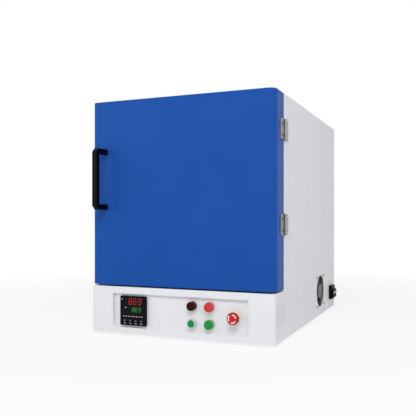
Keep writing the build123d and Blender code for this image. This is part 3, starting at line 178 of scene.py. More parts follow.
tree.links.new(share.outputs[0], choice.inputs["Fac"])
tree.links.new(matt.outputs[0], choice.inputs[1])
tree.links.new(glow.outputs[0], choice.inputs[2])
tree.links.new(choice.outputs[0], tree.nodes["Material Output"].inputs["Surface"])
floor.data.materials.append(paper)
print("floor", FLOOR_SIZE, "m")

# %% [markdown]
# Three soft lamps look at the middle of the furnace. The key lamp hangs above the camera. A weaker one
# fills the shadows from the left, and a narrow upright one on the right lights the side panel.

# %% Lamps
TARGET = (0.0, 0.0, 0.35)
# Name, place, width and height in metres, and power in watts.
LAMPS = (("key", (1.0, -2.6, 2.6), (1.8, 1.2), 54.7),
         ("fill", (-2.2, -2.0, 1.2), (1.6, 1.6), 12.0),
         ("strip", (2.6, -1.0, 0.9), (0.5, 1.8), 4.5))

for name, place, size, power in LAMPS:
    softbox(name, place, TARGET, size, power)

# %% [markdown]
# ## Finishes
# Each part already names its finish, such as white_paint or stainless. A finish is a material whose colour,
# roughness and fine relief come from patterns that are worked out in space, so no picture is needed and the
# grain has its real size in millimetres. A few helpers keep each finish to a few lines. The first ones
# start a finish with its even values.


# %% Finish helpers
def tone(red, green, blue):
    """A colour as a screen shows it, 0 to 255, turned into the linear values that a shader takes."""
    parts = [value / 255 for value in (red, green, blue)]
    return tuple(p / 12.92 if p <= 0.04045 else ((p + 0.055) / 1.055) ** 2.4 for p in parts)


def shade(colour, factor):
    """The same colour, lighter or darker."""
    return tuple(value * factor for value in colour)


def new_finish(name, colour, roughness, metallic=0.0, specular=0.5, coat=0.0):
    """A material with one principled shader whose even values stand on the shader itself."""
    material = bpy.data.materials.new("finish_" + name)
    material.use_nodes = True
    shader = material.node_tree.nodes["Principled BSDF"]
    shader.inputs["Base Color"].default_value = (*colour, 1.0)
    shader.inputs["Roughness"].default_value = roughness
    shader.inputs["Metallic"].default_value = metallic
    shader.inputs["Specular IOR Level"].default_value = specular
    shader.inputs["Coat Weight"].default_value = coat
    return material


def shader_of(material):
    return material.node_tree.nodes["Principled BSDF"]


# %% [markdown]
# A pattern gives a value to each point in space. The helpers below make one from cells of a real size, and
# lead its values to the roughness, the colour or the fine relief of a finish.


# %% Pattern helpers
def pattern(material, kind, cell, stretch=(1.0, 1.0, 1.0), detail=2.0, turn=(0.0, 0.0, 0.0)):
    """A pattern of cells of a real size; stretch makes the cells longer along an axis."""
    tree = material.node_tree
    space = tree.nodes.new("ShaderNodeTexCoord")
    mapping = tree.nodes.new("ShaderNodeMapping")
    mapping.inputs["Scale"].default_value = [1 / (cell * s) for s in stretch]
    mapping.inputs["Rotation"].default_value = turn
    texture = tree.nodes.new("ShaderNodeTex" + kind)
    texture.inputs["Scale"].default_value = 1.0
    if kind in ("Noise", "Voronoi"):
        texture.inputs["Detail"].default_value = detail
    tree.links.new(space.outputs["Object"], mapping.inputs["Vector"])
    tree.links.new(mapping.outputs["Vector"], texture.inputs["Vector"])
    return texture.outputs[0]


def ranged(material, source, low, high, start=0.3, end=0.7):
    """The pattern's values from start to end, turned into values from low to high."""
    tree = material.node_tree
    spread = tree.nodes.new("ShaderNodeMapRange")
    for socket, value in (("From Min", start), ("From Max", end), ("To Min", low), ("To Max", high)):
        spread.inputs[socket].default_value = value
    tree.links.new(source, spread.inputs["Value"])
    return spread.outputs["Result"]


def rough(material, source, low, high):
    """Roughness that varies with a pattern."""
    value = ranged(material, source, low, high)
    material.node_tree.links.new(value, shader_of(material).inputs["Roughness"])


def colours(material, source, first, second, start=0.3, end=0.7):
    """Base colour that varies from one colour to another with a pattern."""
    tree = material.node_tree
    mix = tree.nodes.new("ShaderNodeMix")
    mix.data_type = "RGBA"
    mix.inputs["A"].default_value = (*first, 1.0)
    mix.inputs["B"].default_value = (*second, 1.0)
    tree.links.new(ranged(material, source, 0.0, 1.0, start, end), mix.inputs["Factor"])
    tree.links.new(mix.outputs["Result"], shader_of(material).inputs["Base Color"])


def relief(material, source, height):
    """Fine relief of a real height. Called again, it adds to the relief that is there."""
    tree = material.node_tree
    bump = tree.nodes.new("ShaderNodeBump")
    bump.inputs["Distance"].default_value = height
    tree.links.new(source, bump.inputs["Height"])
    normal = shader_of(material).inputs["Normal"]
    if normal.is_linked:
        tree.links.new(normal.links[0].from_socket, bump.inputs["Normal"])
    tree.links.new(bump.outputs["Normal"], normal)


# %% [markdown]
# ### Paint
# The cabinet has a pale powder coat and the door a deep blue enamel. A baked powder is never dead flat: it
# has a soft ripple, called orange peel, a millimetre or more wide and a hundredth high. The blue mirrors
# only little, because the white surroundings in a strong gloss would wash the blue out.

# %% Painted sheet
PALE = tone(231, 232, 234)
BLUE = tone(30, 80, 162)


def powder_coat():
    """Pale powder coat: even, half gloss, with the soft orange peel of a baked powder."""
    material = new_finish("white_paint", PALE, 0.45, specular=0.4)
    colours(material, pattern(material, "Noise", 90 * MM), shade(PALE, 0.985), shade(PALE, 1.01))
    rough(material, pattern(material, "Noise", 14 * MM), 0.4, 0.5)
    relief(material, pattern(material, "Noise", 1.6 * MM, detail=1.0), 0.012 * MM)
    return material


def blue_enamel():
    """Satin blue enamel of the door, with a faint wave."""
    material = new_finish("blue_paint", BLUE, 0.36, specular=0.06)
    colours(material, pattern(material, "Noise", 130 * MM), shade(BLUE, 0.97), shade(BLUE, 1.03))
    rough(material, pattern(material, "Noise", 20 * MM), 0.32, 0.4)
    relief(material, pattern(material, "Noise", 5 * MM, detail=0.0), 0.004 * MM)
    return material


# %% [markdown]
# ### Metals
# Brushed steel is drawn by scratches: a noise pattern, a third of a millimetre across and sixty times as
# long. Galvanised sheet shows flakes of zinc, which a Voronoi pattern gives. The heating strips have been
# fired many times, so they are dark with oxide.


# %% Metals
def brushed(name, colour, grain, roughness=0.32):
    """Brushed metal: long scratches along one axis."""
    material = new_finish(name, colour, roughness, metallic=1.0)
    scratches = pattern(material, "Noise", 0.35 * MM, stretch=grain, detail=3.0)
    colours(material, scratches, shade(colour, 0.86), shade(colour, 1.06))
    rough(material, scratches, roughness - 0.08, roughness + 0.12)
    relief(material, scratches, 0.01 * MM)
    return material


def zinc_sheet():
    """Galvanised sheet: flakes of zinc crystal, each with its own tone."""
    grey = (0.62, 0.64, 0.65)
    material = new_finish("zinc_sheet", grey, 0.45, metallic=0.9)
    flakes = pattern(material, "Voronoi", 16 * MM, detail=0.0)
    colours(material, flakes, shade(grey, 0.82), shade(grey, 1.08), 0.0, 0.9)
    rough(material, pattern(material, "Noise", 9 * MM), 0.38, 0.55)
    return material


def oxide_alloy():
    """Heating strip after many firings: dark oxide with paler patches."""
    material = new_finish("heating_alloy", (0.16, 0.13, 0.11), 0.6, metallic=0.7)
    colours(material, pattern(material, "Noise", 5 * MM), (0.10, 0.085, 0.075), (0.3, 0.26, 0.22))
    relief(material, pattern(material, "Noise", 0.8 * MM), 0.05 * MM)
    return material


# %% [markdown]
# ### Tints
# Round the throat the steel has been hot, so it carries the straw and blue tints of thin oxide. The
# distance from the throat's middle, in an oval, picks the tint. Each tint is written with its distance, as a
# share of the oval's reach. The same helper paints shade on the emergency stop's head: a cool dark rim, and
# a middle that is a little darker.


# %% Tints
def tinted(material, middle, reach, stops, strength):
    """Multiplies a material's colour by a tint that changes with the distance from a middle point."""
    tree = material.node_tree
    space = tree.nodes.new("ShaderNodeTexCoord")
    mapping = tree.nodes.new("ShaderNodeMapping")
    mapping.inputs["Scale"].default_value = [1 / r for r in reach]
    mapping.inputs["Location"].default_value = [-m / r for m, r in zip(middle, reach)]
    length = tree.nodes.new("ShaderNodeVectorMath")
    length.operation = "LENGTH"
    ramp = tree.nodes.new("ShaderNodeValToRGB")
    ends = ramp.color_ramp.elements
    for end, (place, tint) in zip((ends[0], ends[1]), (stops[0], stops[-1])):
        end.position, end.color = place, (*tint, 1.0)
    for place, tint in stops[1:-1]:
        ends.new(place).color = (*tint, 1.0)
    mix = tree.nodes.new("ShaderNodeMix")
    mix.data_type = "RGBA"
    mix.blend_type = "MULTIPLY"
    mix.inputs["Factor"].default_value = strength
    base = shader_of(material).inputs["Base Color"]
    tree.links.new(space.outputs["Object"], mapping.inputs["Vector"])
    tree.links.new(mapping.outputs["Vector"], length.inputs[0])
    tree.links.new(length.outputs["Value"], ramp.inputs["Fac"])
    tree.links.new(base.links[0].from_socket, mix.inputs["A"])
    tree.links.new(ramp.outputs["Color"], mix.inputs["B"])
    tree.links.new(mix.outputs["Result"], base)
    return material


# %% [markdown]
# ### Ceramic, fibre and rope
# The chamber is lined with board pressed from ceramic fibre. It is matt and mottled, with short fibres
# felted together. The rope that seals the door is braided: two sets of ridges that cross at a slant.


# %% Ceramic, fibre and rope
def fibre(name, colour, clump, height):
    """Ceramic fibre: matt, mottled, with short felted fibres."""
    material = new_finish(name, colour, 0.95, specular=0.15)
    felt = pattern(material, "Noise", clump, stretch=(1.0, 3.0, 1.0), detail=6.0)
    colours(material, felt, shade(colour, 0.88), shade(colour, 1.04))
    relief(material, pattern(material, "Noise", 14 * clump), 3 * height)
    relief(material, felt, height)
    return material


def braided(name, colour, ridge, height):
    """Braided glass rope: slanting ridges one way, crossed by ridges the other way, with painted shade in
    the grooves.
    """
    material = new_finish(name, colour, 0.9, specular=0.2)
    for turn in (pi / 4, -pi / 4):
        ridges = pattern(material, "Wave", ridge, turn=(0.0, turn, 0.0))
        relief(material, ridges, height)
    # The colour follows the last ridges: the grooves between them are darker, as painted shade.
    colours(material, ridges, shade(colour, 0.72), shade(colour, 1.05), 0.0, 1.0)
    return material


def fired_ceramic(name, colour, speck, roughness):
    """Pressed and fired ceramic: dense, with small dark and pale grains."""
    material = new_finish(name, colour, roughness, specular=0.3)
    grains = pattern(material, "Noise", speck, detail=5.0)
    colours(material, grains, shade(colour, 0.72), shade(colour, 1.1), 0.35, 0.65)
    relief(material, grains, 0.06 * MM)
    return material


# %% [markdown]
# ### Plastics, print and light
# Moulded plastic has an even colour and a fine mould grain. Black plastic looks black only if it mirrors
# little, because all round it is white. A lens lets light in: under its skin the light scatters, which
# subsurface shading gives. The figures of the display shine by themselves.


# %% Plastics, print and light
def moulded(name, colour, roughness, specular=0.3, grain=0.7 * MM, height=0.012 * MM, coat=0.0):
    """Moulded plastic: even colour with a fine mould grain."""
    material = new_finish(name, colour, roughness, specular=specular, coat=coat)
    colours(material, pattern(material, "Noise", 12 * MM), shade(colour, 0.94), shade(colour, 1.05))
    rough(material, pattern(material, "Noise", 3 * MM), roughness - 0.04, roughness + 0.06)
    relief(material, pattern(material, "Noise", grain, detail=1.0), height)
    return material


def lens(name, colour, inner):
    """Coloured lamp lens: a little light passes through the skin and scatters inside."""
    material = moulded(name, colour, 0.25, specular=0.3, grain=2.2 * MM, height=0.02 * MM, coat=0.1)
    shader = shader_of(material)
    shader.inputs["Subsurface Weight"].default_value = 0.35
    shader.inputs["Subsurface Radius"].default_value = inner
    shader.inputs["Subsurface Scale"].default_value = 3 * MM
    return material


def self_lit(name, colour, strength):
    """A lit figure: a dim coloured diffuser that shines by itself."""
    material = moulded(name, shade(colour, 0.3), 0.5)
    shader = shader_of(material)
    shader.inputs["Emission Color"].default_value = (*colour, 1.0)
    shader.inputs["Emission Strength"].default_value = strength
    return material


# %% [markdown]
# ### Hand the finishes out
# The table below pairs each finish name with its material. The lines after it walk over the parts, read the
# name that each carries, and put the new material in its place.

# %% Finish for each kind of part
STEEL = (0.66, 0.66, 0.65)
UPRIGHT_GRAIN = (1.0, 1.0, 60.0)
# Painted shade on the emergency stop's head: its rim darkens to a cool grey, and its middle a little.
RIM_SHADE_REACH = (20 * MM, 1.0, 20 * MM)
RIM_SHADE_TINTS = ((0.3, (0.86, 0.7, 0.7)), (0.45, (1.0, 1.0, 1.0)), (0.74, (1.0, 1.0, 1.0)),
             (0.86, (0.36, 0.42, 0.5)))
RIM_SHADE_STRENGTH = 1.0
plain_red = moulded("red_with_painted_rim_shade", tone(222, 36, 28), 0.28, specular=0.2, coat=0.1)
finishes = {
    "white_paint": powder_coat(),
    "blue_paint": blue_enamel(),
    "stainless": brushed("stainless", STEEL, UPRIGHT_GRAIN),
    "zinc_sheet": zinc_sheet(),
    "screw_steel": brushed("screw_steel", (0.6, 0.6, 0.59), (1.0, 1.0, 1.0), 0.3),
    "fibre_board": fibre("fibre_board", (0.86, 0.83, 0.76), 1.4 * MM, 0.12 * MM),
    "fibre_rope": braided("fibre_rope", (0.8, 0.78, 0.72), 6 * MM, 0.5 * MM),
    "hearth_ceramic": fired_ceramic("hearth_ceramic", (0.55, 0.5, 0.43), 1.5 * MM, 0.75),
    "heating_alloy": oxide_alloy(),
    "probe_ceramic": fired_ceramic("probe_ceramic", (0.8, 0.77, 0.7), 0.8 * MM, 0.5),
    "magnet": fired_ceramic("magnet", (0.06, 0.06, 0.065), 0.6 * MM, 0.55),
    "black_plastic": moulded("black_plastic", tone(4, 5, 8), 0.42, specular=0.08),
    "display_window": moulded("display_window", tone(4, 5, 8), 0.15, specular=0.12, height=0.001 * MM),
    "key_plastic": moulded("key_plastic", tone(22, 27, 36), 0.4, specular=0.2),
    "bright_shroud": moulded("bright_shroud", tone(206, 210, 213), 0.25, coat=0.2),
    "dark_red_plastic": moulded("dark_red_plastic", tone(56, 3, 10), 0.3, specular=0.1),
    "red_lens": lens("red_lens", tone(208, 50, 46), (1.0, 0.2, 0.15)),
    "green_lens": lens("green_lens", tone(0, 140, 52), (0.1, 1.0, 0.3)),
    "green_plastic": moulded("green_plastic", tone(0, 138, 48), 0.28, specular=0.2, coat=0.05),
    "estop_red": tinted(plain_red, middle_of("estop_head"), RIM_SHADE_REACH, RIM_SHADE_TINTS, RIM_SHADE_STRENGTH),
    "stem_plastic": moulded("stem_plastic", tone(70, 70, 72), 0.4),
    "toggle_plastic": moulded("toggle_plastic", tone(205, 208, 208), 0.4),
    "foot_rubber": moulded("foot_rubber", tone(24, 24, 25), 0.75, specular=0.2, height=0.04 * MM),
    "sink_aluminium": brushed("sink_aluminium", (0.68, 0.69, 0.7), (60.0, 1.0, 1.0), 0.38),
}
for node in nodes.values():
    slot = node.material_slots[0].material.name
    node.data.materials[0] = finishes[slot]
print("finishes", len(finishes))

# %% [markdown]
# Some parts look different from others of their kind: steel that has been hot, the hinges, the dark screws
# of hinges and fan, the grey housing of the fan, the brown one of the stop button and the yellow collar of
# the emergency stop. Each of these gets a finish of its own.

# %% Finish for single parts
THROAT_OVAL = (0.34, 1.0, 0.3)
HEAT_TINTS = ((0.62, (0.42, 0.42, 0.55)), (0.7, (0.66, 0.5, 0.42)), (0.8, (0.93, 0.8, 0.58)),
              (1.0, (1.0, 1.0, 1.0)))
HEAT_STRENGTH = 0.7

hot_steel = tinted(brushed("hot_steel", STEEL, UPRIGHT_GRAIN), middle_of("door_plug"), THROAT_OVAL,
                   HEAT_TINTS, HEAT_STRENGTH)
fan_grey = moulded("fan_grey", tone(112, 104, 104), 0.4, specular=0.35)
hinge_steel = brushed("hinge_steel", (0.34, 0.34, 0.34), UPRIGHT_GRAIN, 0.36)
dark_steel = brushed("dark_steel", (0.07, 0.07, 0.08), (1.0, 1.0, 1.0), 0.4)
# The stop button's housing is brown-grey.
brown_grey_housing = moulded("brown_grey_housing", tone(92, 76, 74), 0.4, specular=0.2)
collar_yellow = moulded("collar_yellow", tone(236, 214, 170), 0.45, specular=0.2)
special = {"stop_button_body": brown_grey_housing, "estop_body": collar_yellow, "fan_frame": fan_grey,
           "front_frame": hot_steel, "door_back_pan": hot_steel,
           "frame_leaves": hinge_steel, "door_leaves": hinge_steel, "hinge_pins": hinge_steel}
for name, material in special.items():
    nodes[name].data.materials[0] = material
print("parts with a finish of their own", len(special))

# %% [markdown]
# ## Modelling by hand, in code
# The small pieces below are made as in the Blender window: add a primitive, open it in edit mode, choose
# some corners, edges or faces, and bevel, move, spin or cut them. Choosing is done by a test on where they
# lie. Two places count as the same if they are less than a hundredth of a millimetre apart.

# %% Choosing and settling
SAME_PLACE = 0.01 * MM


def only(*pieces):
    """Leaves edit mode and selects these pieces and nothing else. The last one is the active one."""
    if bpy.context.mode != "OBJECT":
        bpy.ops.object.mode_set(mode="OBJECT")
    bpy.ops.object.select_all(action="DESELECT")
    for piece in pieces:
        piece.select_set(True)
        bpy.context.view_layer.objects.active = piece


def choose(piece, kind, wanted):
    """In edit mode, selects the corners, edges or faces that pass a test."""
    only(piece)
    bpy.ops.object.mode_set(mode="EDIT")
    bpy.ops.mesh.select_mode(type=kind)
    bpy.ops.mesh.select_all(action="DESELECT")
    mesh = bmesh.from_edit_mesh(piece.data)
    for element in {"VERT": mesh.verts, "EDGE": mesh.edges, "FACE": mesh.faces}[kind]:
        if wanted(element):
            element.select_set(True)
    bmesh.update_edit_mesh(piece.data)


def at_height(z):
    """A test that an edge passes if its middle lies at a height along Z."""
    return lambda edge: abs((edge.verts[0].co.z + edge.verts[1].co.z) / 2 - z) < SAME_PLACE


def settle(piece):
    """Moves a piece's place, turn and scale into its mesh."""
    only(piece)
    bpy.ops.object.transform_apply(location=True, rotation=True, scale=True)
    return piece


def one_piece(*pieces):
    """Joins pieces into one."""
    only(*pieces)
    bpy.ops.object.join()
    return settle(bpy.context.object)


# %% [markdown]
# What repeats is modelled once and copied, each copy with its own mesh. Most pieces are drawn lying down
# with their front upwards, and turned to face front, right or rear at the end. A finished piece has its
# place in its mesh, so its object stays at the origin, as the machine parts do. It rides on one of the
# bodies, so that it moves with the door, a button or the cabinet.

# %% Copies and hand-over
FRONT = (pi / 2, 0.0, 0.0)
RIGHT = (pi / 2, 0.0, pi / 2)
REAR = (pi / 2, 0.0, pi)
SMOOTH_ANGLE = radians(30)


def placed(model, place, turn=(0.0, 0.0, 0.0)):
    """A copy of a model, with its own mesh, at a place."""
    copy = model.copy()
    copy.data = model.data.copy()
    bpy.context.collection.objects.link(copy)
    copy.location = place
    copy.rotation_euler = turn
    return settle(copy)


def discard(*models):
    """Throws away models that have been copied to their places."""
    for model in models:
        bpy.data.objects.remove(model)


def turned_copy(model, turn, place, facing):
    """A copy of a model that is turned as it lies, and then placed to face front, right or rear."""
    flat = placed(model, (0, 0, 0), (0, 0, turn))
    copy = placed(flat, place, facing)
    discard(flat)
    return copy


def carve(piece, cutter):
    """Cuts one shape out of another, and throws the cutter away."""
    only(piece)
    cut = piece.modifiers.new("cut", "BOOLEAN")
    cut.operation = "DIFFERENCE"
    cut.object = cutter
    bpy.ops.object.modifier_apply(modifier=cut.name)
    discard(cutter)


def hand_over(piece, name, material, body, stands_for=None):
    """Names a finished piece, smooths it, gives it its finish and lets it ride on its body."""
    settle(piece)
    bpy.ops.object.shade_smooth_by_angle(angle=SMOOTH_ANGLE)
    piece.name = name
    piece.data.name = name
    piece.data.materials.clear()
    piece.data.materials.append(material)
    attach(piece, body)
    if stands_for:
        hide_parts(stands_for)
    print(name, len(piece.data.polygons), "faces on", body)


# %% [markdown]
# One machine part can hold several equal solids, such as four screws. This helper tells them apart: corners
# that lie within reach of a group's first corner belong to that group. The groups are then sorted by their
# lowest corner, rounded to a tenth of a millimetre, so that their order is always the same.


# %% Find equal solids in one part
PLACE_DECIMALS = 4


def separate_boxes(name, reach):
    """Lowest and highest corner of each solid in a part whose solids lie further apart than the reach."""
    groups = []
    for vertex in nodes[name].data.vertices:
        for group in groups:
            if (group[0] - vertex.co).length < reach:
                group.append(vertex.co)
                break
        else:
            groups.append([vertex.co])
    boxes = []
    for group in groups:
        low = Vector([min(point[axis] for point in group) for axis in range(3)])
        high = Vector([max(point[axis] for point in group) for axis in range(3)])
        boxes.append((low, high))
    return sorted(boxes, key=lambda box: [round(box[0][axis], PLACE_DECIMALS) for axis in (2, 1, 0)])


# %% [markdown]
# ## Screws
# All the screws that show are cross-head. The machine part has plain heads. The head here is a cylinder
# whose rim is bevelled in several steps, which makes it a dome, and two crossed bars are cut out of it for
# the driver. It is modelled once for each size and copied to each screw's place.


# %% Model a screw
# A bar of the cross, as shares of the head's radius and height. Its lower half cuts into the head.
CROSS_LENGTH, CROSS_WIDTH, CROSS_HEIGHT = 1.15, 0.24, 1.1


def cross_screw(radius, height, dome, shank_radius, shank_length):
    """A screw along Z whose head sits on Z = 0."""
    bpy.ops.mesh.primitive_cylinder_add(vertices=32, radius=radius, depth=height,
                                        location=(0, 0, height / 2))
    head = settle(bpy.context.object)
    choose(head, "EDGE", at_height(height))
    bpy.ops.mesh.bevel(offset=dome, segments=4, affect="EDGES")
    settle(head)
    cross = (CROSS_LENGTH * radius, CROSS_WIDTH * radius, CROSS_HEIGHT * height)
    for turn in (0.0, pi / 2):
        bpy.ops.mesh.primitive_cube_add(size=1.0, location=(0, 0, height), rotation=(0, 0, turn),
                                        scale=cross)
        carve(head, settle(bpy.context.object))
    bpy.ops.mesh.primitive_cylinder_add(vertices=16, radius=shank_radius, depth=shank_length,
                                        location=(0, 0, -shank_length / 2))
    shank = settle(bpy.context.object)
    choose(shank, "EDGE", at_height(-shank_length))
    bpy.ops.mesh.bevel(offset=shank_radius / 3, segments=2, affect="EDGES")
    settle(shank)
    return one_piece(shank, head)


def screws_at(model, node, facing, height, name, body, finish):
    """Copies a screw to each place where a part has one, facing out, each at an angle of its own."""
    copies = []
    for number, (low, high) in enumerate(separate_boxes(node, SCREW_SPACE)):
        middle = (low + high) / 2
        if facing == RIGHT:
            seat = (high.x - height, middle.y, middle.z)
        else:
            seat = (middle.x, high.y - height, middle.z)
        copies.append(turned_copy(model, number * SCREW_TURN, seat, facing))
    hand_over(one_piece(*copies), name, finish, body, node)


# %% Screws of the panels, fan and hinges
SCREW_SPACE = 20 * MM
SCREW_TURN = radians(37)
PAN_HEAD = 2.0 * MM
LEAF_HEAD = 1.2 * MM
SHANK = 6.5 * MM

steel = finishes["screw_steel"]
pan_screw = cross_screw(radius=4.0 * MM, height=PAN_HEAD, dome=1.3 * MM, shank_radius=2.0 * MM,
                        shank_length=SHANK)
leaf_screw = cross_screw(radius=4.5 * MM, height=LEAF_HEAD, dome=0.9 * MM, shank_radius=2.4 * MM,
                         shank_length=SHANK)
screws_at(pan_screw, "cover_screws", REAR, PAN_HEAD, "rear_panel_screws", "cabinet", steel)
screws_at(pan_screw, "fan_screws", RIGHT, PAN_HEAD, "fan_housing_screws", "cabinet", dark_steel)
screws_at(leaf_screw, "frame_hinge_screws", RIGHT, LEAF_HEAD, "frame_leaf_screws", "cabinet", dark_steel)
screws_at(leaf_screw, "door_hinge_screws", RIGHT, LEAF_HEAD, "door_leaf_screws", "door", dark_steel)
discard(pan_screw, leaf_screw)

# %% [markdown]
# ## Temperature controller
# The display has two rows of figures made of bars: seven bars to a figure, lit or not. A bar is a flat
# six-sided cylinder that is pulled long, so both of its ends are pointed. The numbers are plain ones, red
# for what is measured and green for what is set. Places on the controller are counted in millimetres to the
# right and down from its upper left corner.

# %% Places and bars on the controller
case_low, case_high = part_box("controller_case")
window_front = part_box("controller_window")[0].y
PRINT = 0.06 * MM


def on_controller(right, down, front):
    """A point so many millimetres right of and below the controller's upper left corner."""
    return Vector((case_low.x + right * MM, front, case_high.z - down * MM))


def bar(length, stroke):
    """A display bar along Y: six-sided, with pointed ends, as long and wide as asked."""
    radius = stroke / (2 * cos(pi / 6))
    bpy.ops.mesh.primitive_cylinder_add(vertices=6, radius=radius, depth=PRINT)
    made = settle(bpy.context.object)
    for side in (-1, 1):
        choose(made, "VERT", lambda corner: side * corner.co.y > 0)
        bpy.ops.transform.translate(value=(0, side * (length / 2 - radius), 0))
    return settle(made)


# %% Figures of the display
# Where the bars of a figure lie: steps of half its width across and of a quarter of its height up.
BARS = {"a": (0, 2), "b": (1, 1), "c": (1, -1), "d": (0, -2), "e": (-1, -1), "f": (-1, 1), "g": (0, 0)}
FIGURES = {"8": "abcdefg", "6": "acdefg", "9": "abcdfg"}
SLANT = radians(6)
BAR_GAP = 0.5 * MM
unlit = moulded("unlit_bar", tone(14, 16, 20), 0.4, specular=0.1)


def figures(text, right, down, width, height, pitch, stroke, name, material):
    """A row of seven-bar figures, in millimetres; right and down give the middle of the first one."""
    upright = bar(height / 2 * MM - BAR_GAP, stroke * MM)
    level = bar(width * MM - BAR_GAP, stroke * MM)
    lit, dark = [], []
    for number, figure in enumerate(text):
        for key, (across, up) in BARS.items():
            lift = up * height / 4
            step = across * width / 2 + lift * tan(SLANT)
            place = on_controller(right + number * pitch + step, down - lift, window_front)
            model, tilt = (upright, -SLANT) if across else (level, pi / 2)
            group = lit if key in FIGURES[figure] else dark
            group.append(turned_copy(model, tilt, place, FRONT))
    discard(upright, level)
    hand_over(one_piece(*lit), name, material, "cabinet")
    hand_over(one_piece(*dark), name + "_unlit", unlit, "cabinet")


red_figures = self_lit("red_figures", tone(206, 38, 44), 0.6)
green_figures = self_lit("green_figures", tone(60, 172, 78), 0.55)
figures("869", right=39.7, down=16.8, width=9.8, height=19.6, pitch=17.4, stroke=1.7,
        name="measured_figures", material=red_figures)
figures("869", right=50.4, down=43.4, width=7.4, height=13.6, pitch=12.2, stroke=1.3,
        name="set_figures", material=green_figures)

# %% [markdown]
# A printed mark is a thin flat piece with round ends: a cylinder whose two halves are moved apart. A row of
# eight marks shows the status, one stands beside each row of figures, and one over each key.


# %% Printed marks on the controller
def mark(length, width):
    """A flat mark along X with round ends."""
    bpy.ops.mesh.primitive_cylinder_add(vertices=20, radius=width / 2, depth=PRINT)
    made = settle(bpy.context.object)
    for side in (-1, 1):
        choose(made, "VERT", lambda corner: side * corner.co.x > SAME_PLACE)
        bpy.ops.transform.translate(value=(side * (length - width) / 2, 0, 0))
    return settle(made)


STATUS_MARKS = 8
STATUS_FIRST, STATUS_PITCH, STATUS_DOWN = 15.0, 9.7, 66.0
STATUS_SIZE = (5.4 * MM, 2.6 * MM)
# Places to the right and down, and lengths.
ROW_MARKS = ((8.0, 10.0, 5.0), (22.0, 37.6, 6.0))
ROW_MARK_W = 3.0 * MM
KEY_MARK_W = 1.8 * MM
KEY_MARK_DOWN = 89.0
KEY_MARK_LENGTHS = {"key_set": 7.0, "key_shift": 7.5, "key_down": 8.0, "key_up": 8.5}

printed = []
status_mark = mark(*STATUS_SIZE)
for number in range(STATUS_MARKS):
    place = on_controller(STATUS_FIRST + number * STATUS_PITCH, STATUS_DOWN, window_front)
    printed.append(placed(status_mark, place, FRONT))
for right, down, length in ROW_MARKS:
    row_mark = mark(length * MM, ROW_MARK_W)
    printed.append(placed(row_mark, on_controller(right, down, window_front), FRONT))
    discard(row_mark)
for key, length in KEY_MARK_LENGTHS.items():
    key_mark = mark(length * MM, KEY_MARK_W)
    place = on_controller(0.0, KEY_MARK_DOWN, case_low.y)
    place.x = middle_of(key).x
    printed.append(placed(key_mark, place, FRONT))
    discard(key_mark)
discard(status_mark)
white_print = moulded("white_print", tone(186, 190, 196), 0.6, height=0.002 * MM)
hand_over(one_piece(*printed), "controller_print", white_print, "cabinet")

# %% [markdown]
# Each key carries a sign of its own: a ring to set, an arrow to the left to pick a figure, and arrows down
# and up. An arrow is a flat three-sided cylinder. The signs ride on their keys, so they sink in with them.


# %% Signs on the keys
KEY_RING_R = 1.9 * MM
KEY_ARROW_R = 2.6 * MM
KEY_ARROW_SOFT = 0.3 * MM
RING_WIRE = 0.5 * MM
RING_FLAT = 0.15


def flat_ring(radius):
    """A printed ring: a torus that is pressed nearly flat."""
    bpy.ops.mesh.primitive_torus_add(major_radius=radius, minor_radius=RING_WIRE, major_segments=28,
                                     minor_segments=8)
    ring = bpy.context.object
    ring.scale.z = RING_FLAT
    return settle(ring)


def key_sign(turn):
    """An arrow that points the given way, or a ring if there is no way to point."""
    if turn is None:
        return flat_ring(KEY_RING_R)
    bpy.ops.mesh.primitive_cylinder_add(vertices=3, radius=KEY_ARROW_R, depth=PRINT, rotation=(0, 0, turn))
    arrow = settle(bpy.context.object)
    choose(arrow, "EDGE", lambda edge: abs(edge.verts[0].co.z - edge.verts[1].co.z) > PRINT / 2)
    bpy.ops.mesh.bevel(offset=KEY_ARROW_SOFT, segments=2, affect="EDGES")
    return settle(arrow)


blue_print = moulded("blue_print", tone(120, 158, 190), 0.6, height=0.002 * MM)
KEY_SIGNS = {"key_set": None, "key_shift": pi / 2, "key_down": pi, "key_up": 0.0}
for key, turn in KEY_SIGNS.items():
    flat = key_sign(turn)
    place = middle_of(key)
    place.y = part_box(key)[0].y
    sign = placed(flat, place, FRONT)
    discard(flat)
    hand_over(sign, key + "_sign", blue_print, key)

# %% [markdown]
# ## Lamps
# The lens of each lamp reaches over its flange down to the panel. Light comes through this skirt from the
# side, so its colour is painted paler than the face, as painted light. The skirt is a cylinder without ends.
# A modifier makes its wall, and a small bevel softens the wall's edges.

# %% Skirts of the lamps
FLANGE_R = 14.8 * MM
FLANGE_T = 3.0 * MM
SKIRT_PLAY = 0.2 * MM
SKIRT_BACK = 3.0 * MM
SKIRT_SOFT = 0.5 * MM


def lamp_skirt(node, name, colour, inner):
    """A skirt round a lamp's lens, from the panel to just behind the front of the lens, painted paler as
    painted light.
    """
    low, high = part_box(node)
    outer = FLANGE_R + SKIRT_PLAY
    wall = outer - (high.x - low.x) / 2 - SKIRT_PLAY
    panel = high.y + FLANGE_T - SKIRT_PLAY
    depth = panel - low.y - SKIRT_BACK
    bpy.ops.mesh.primitive_cylinder_add(vertices=72, radius=outer, depth=depth, end_fill_type="NOTHING")
    skirt = settle(bpy.context.object)
    thicken = skirt.modifiers.new("wall", "SOLIDIFY")
    thicken.thickness = wall
    thicken.offset = -1.0
    soften = skirt.modifiers.new("soft", "BEVEL")
    soften.width = SKIRT_SOFT
    soften.segments = 2
    soften.limit_method = "ANGLE"
    only(skirt)
    for modifier in (thicken.name, soften.name):
        bpy.ops.object.modifier_apply(modifier=modifier)
    skirt.rotation_euler = FRONT
    skirt.location = middle_of(node)
    skirt.location.y = panel - depth / 2
    hand_over(skirt, name, lens(name, colour, inner), "cabinet")


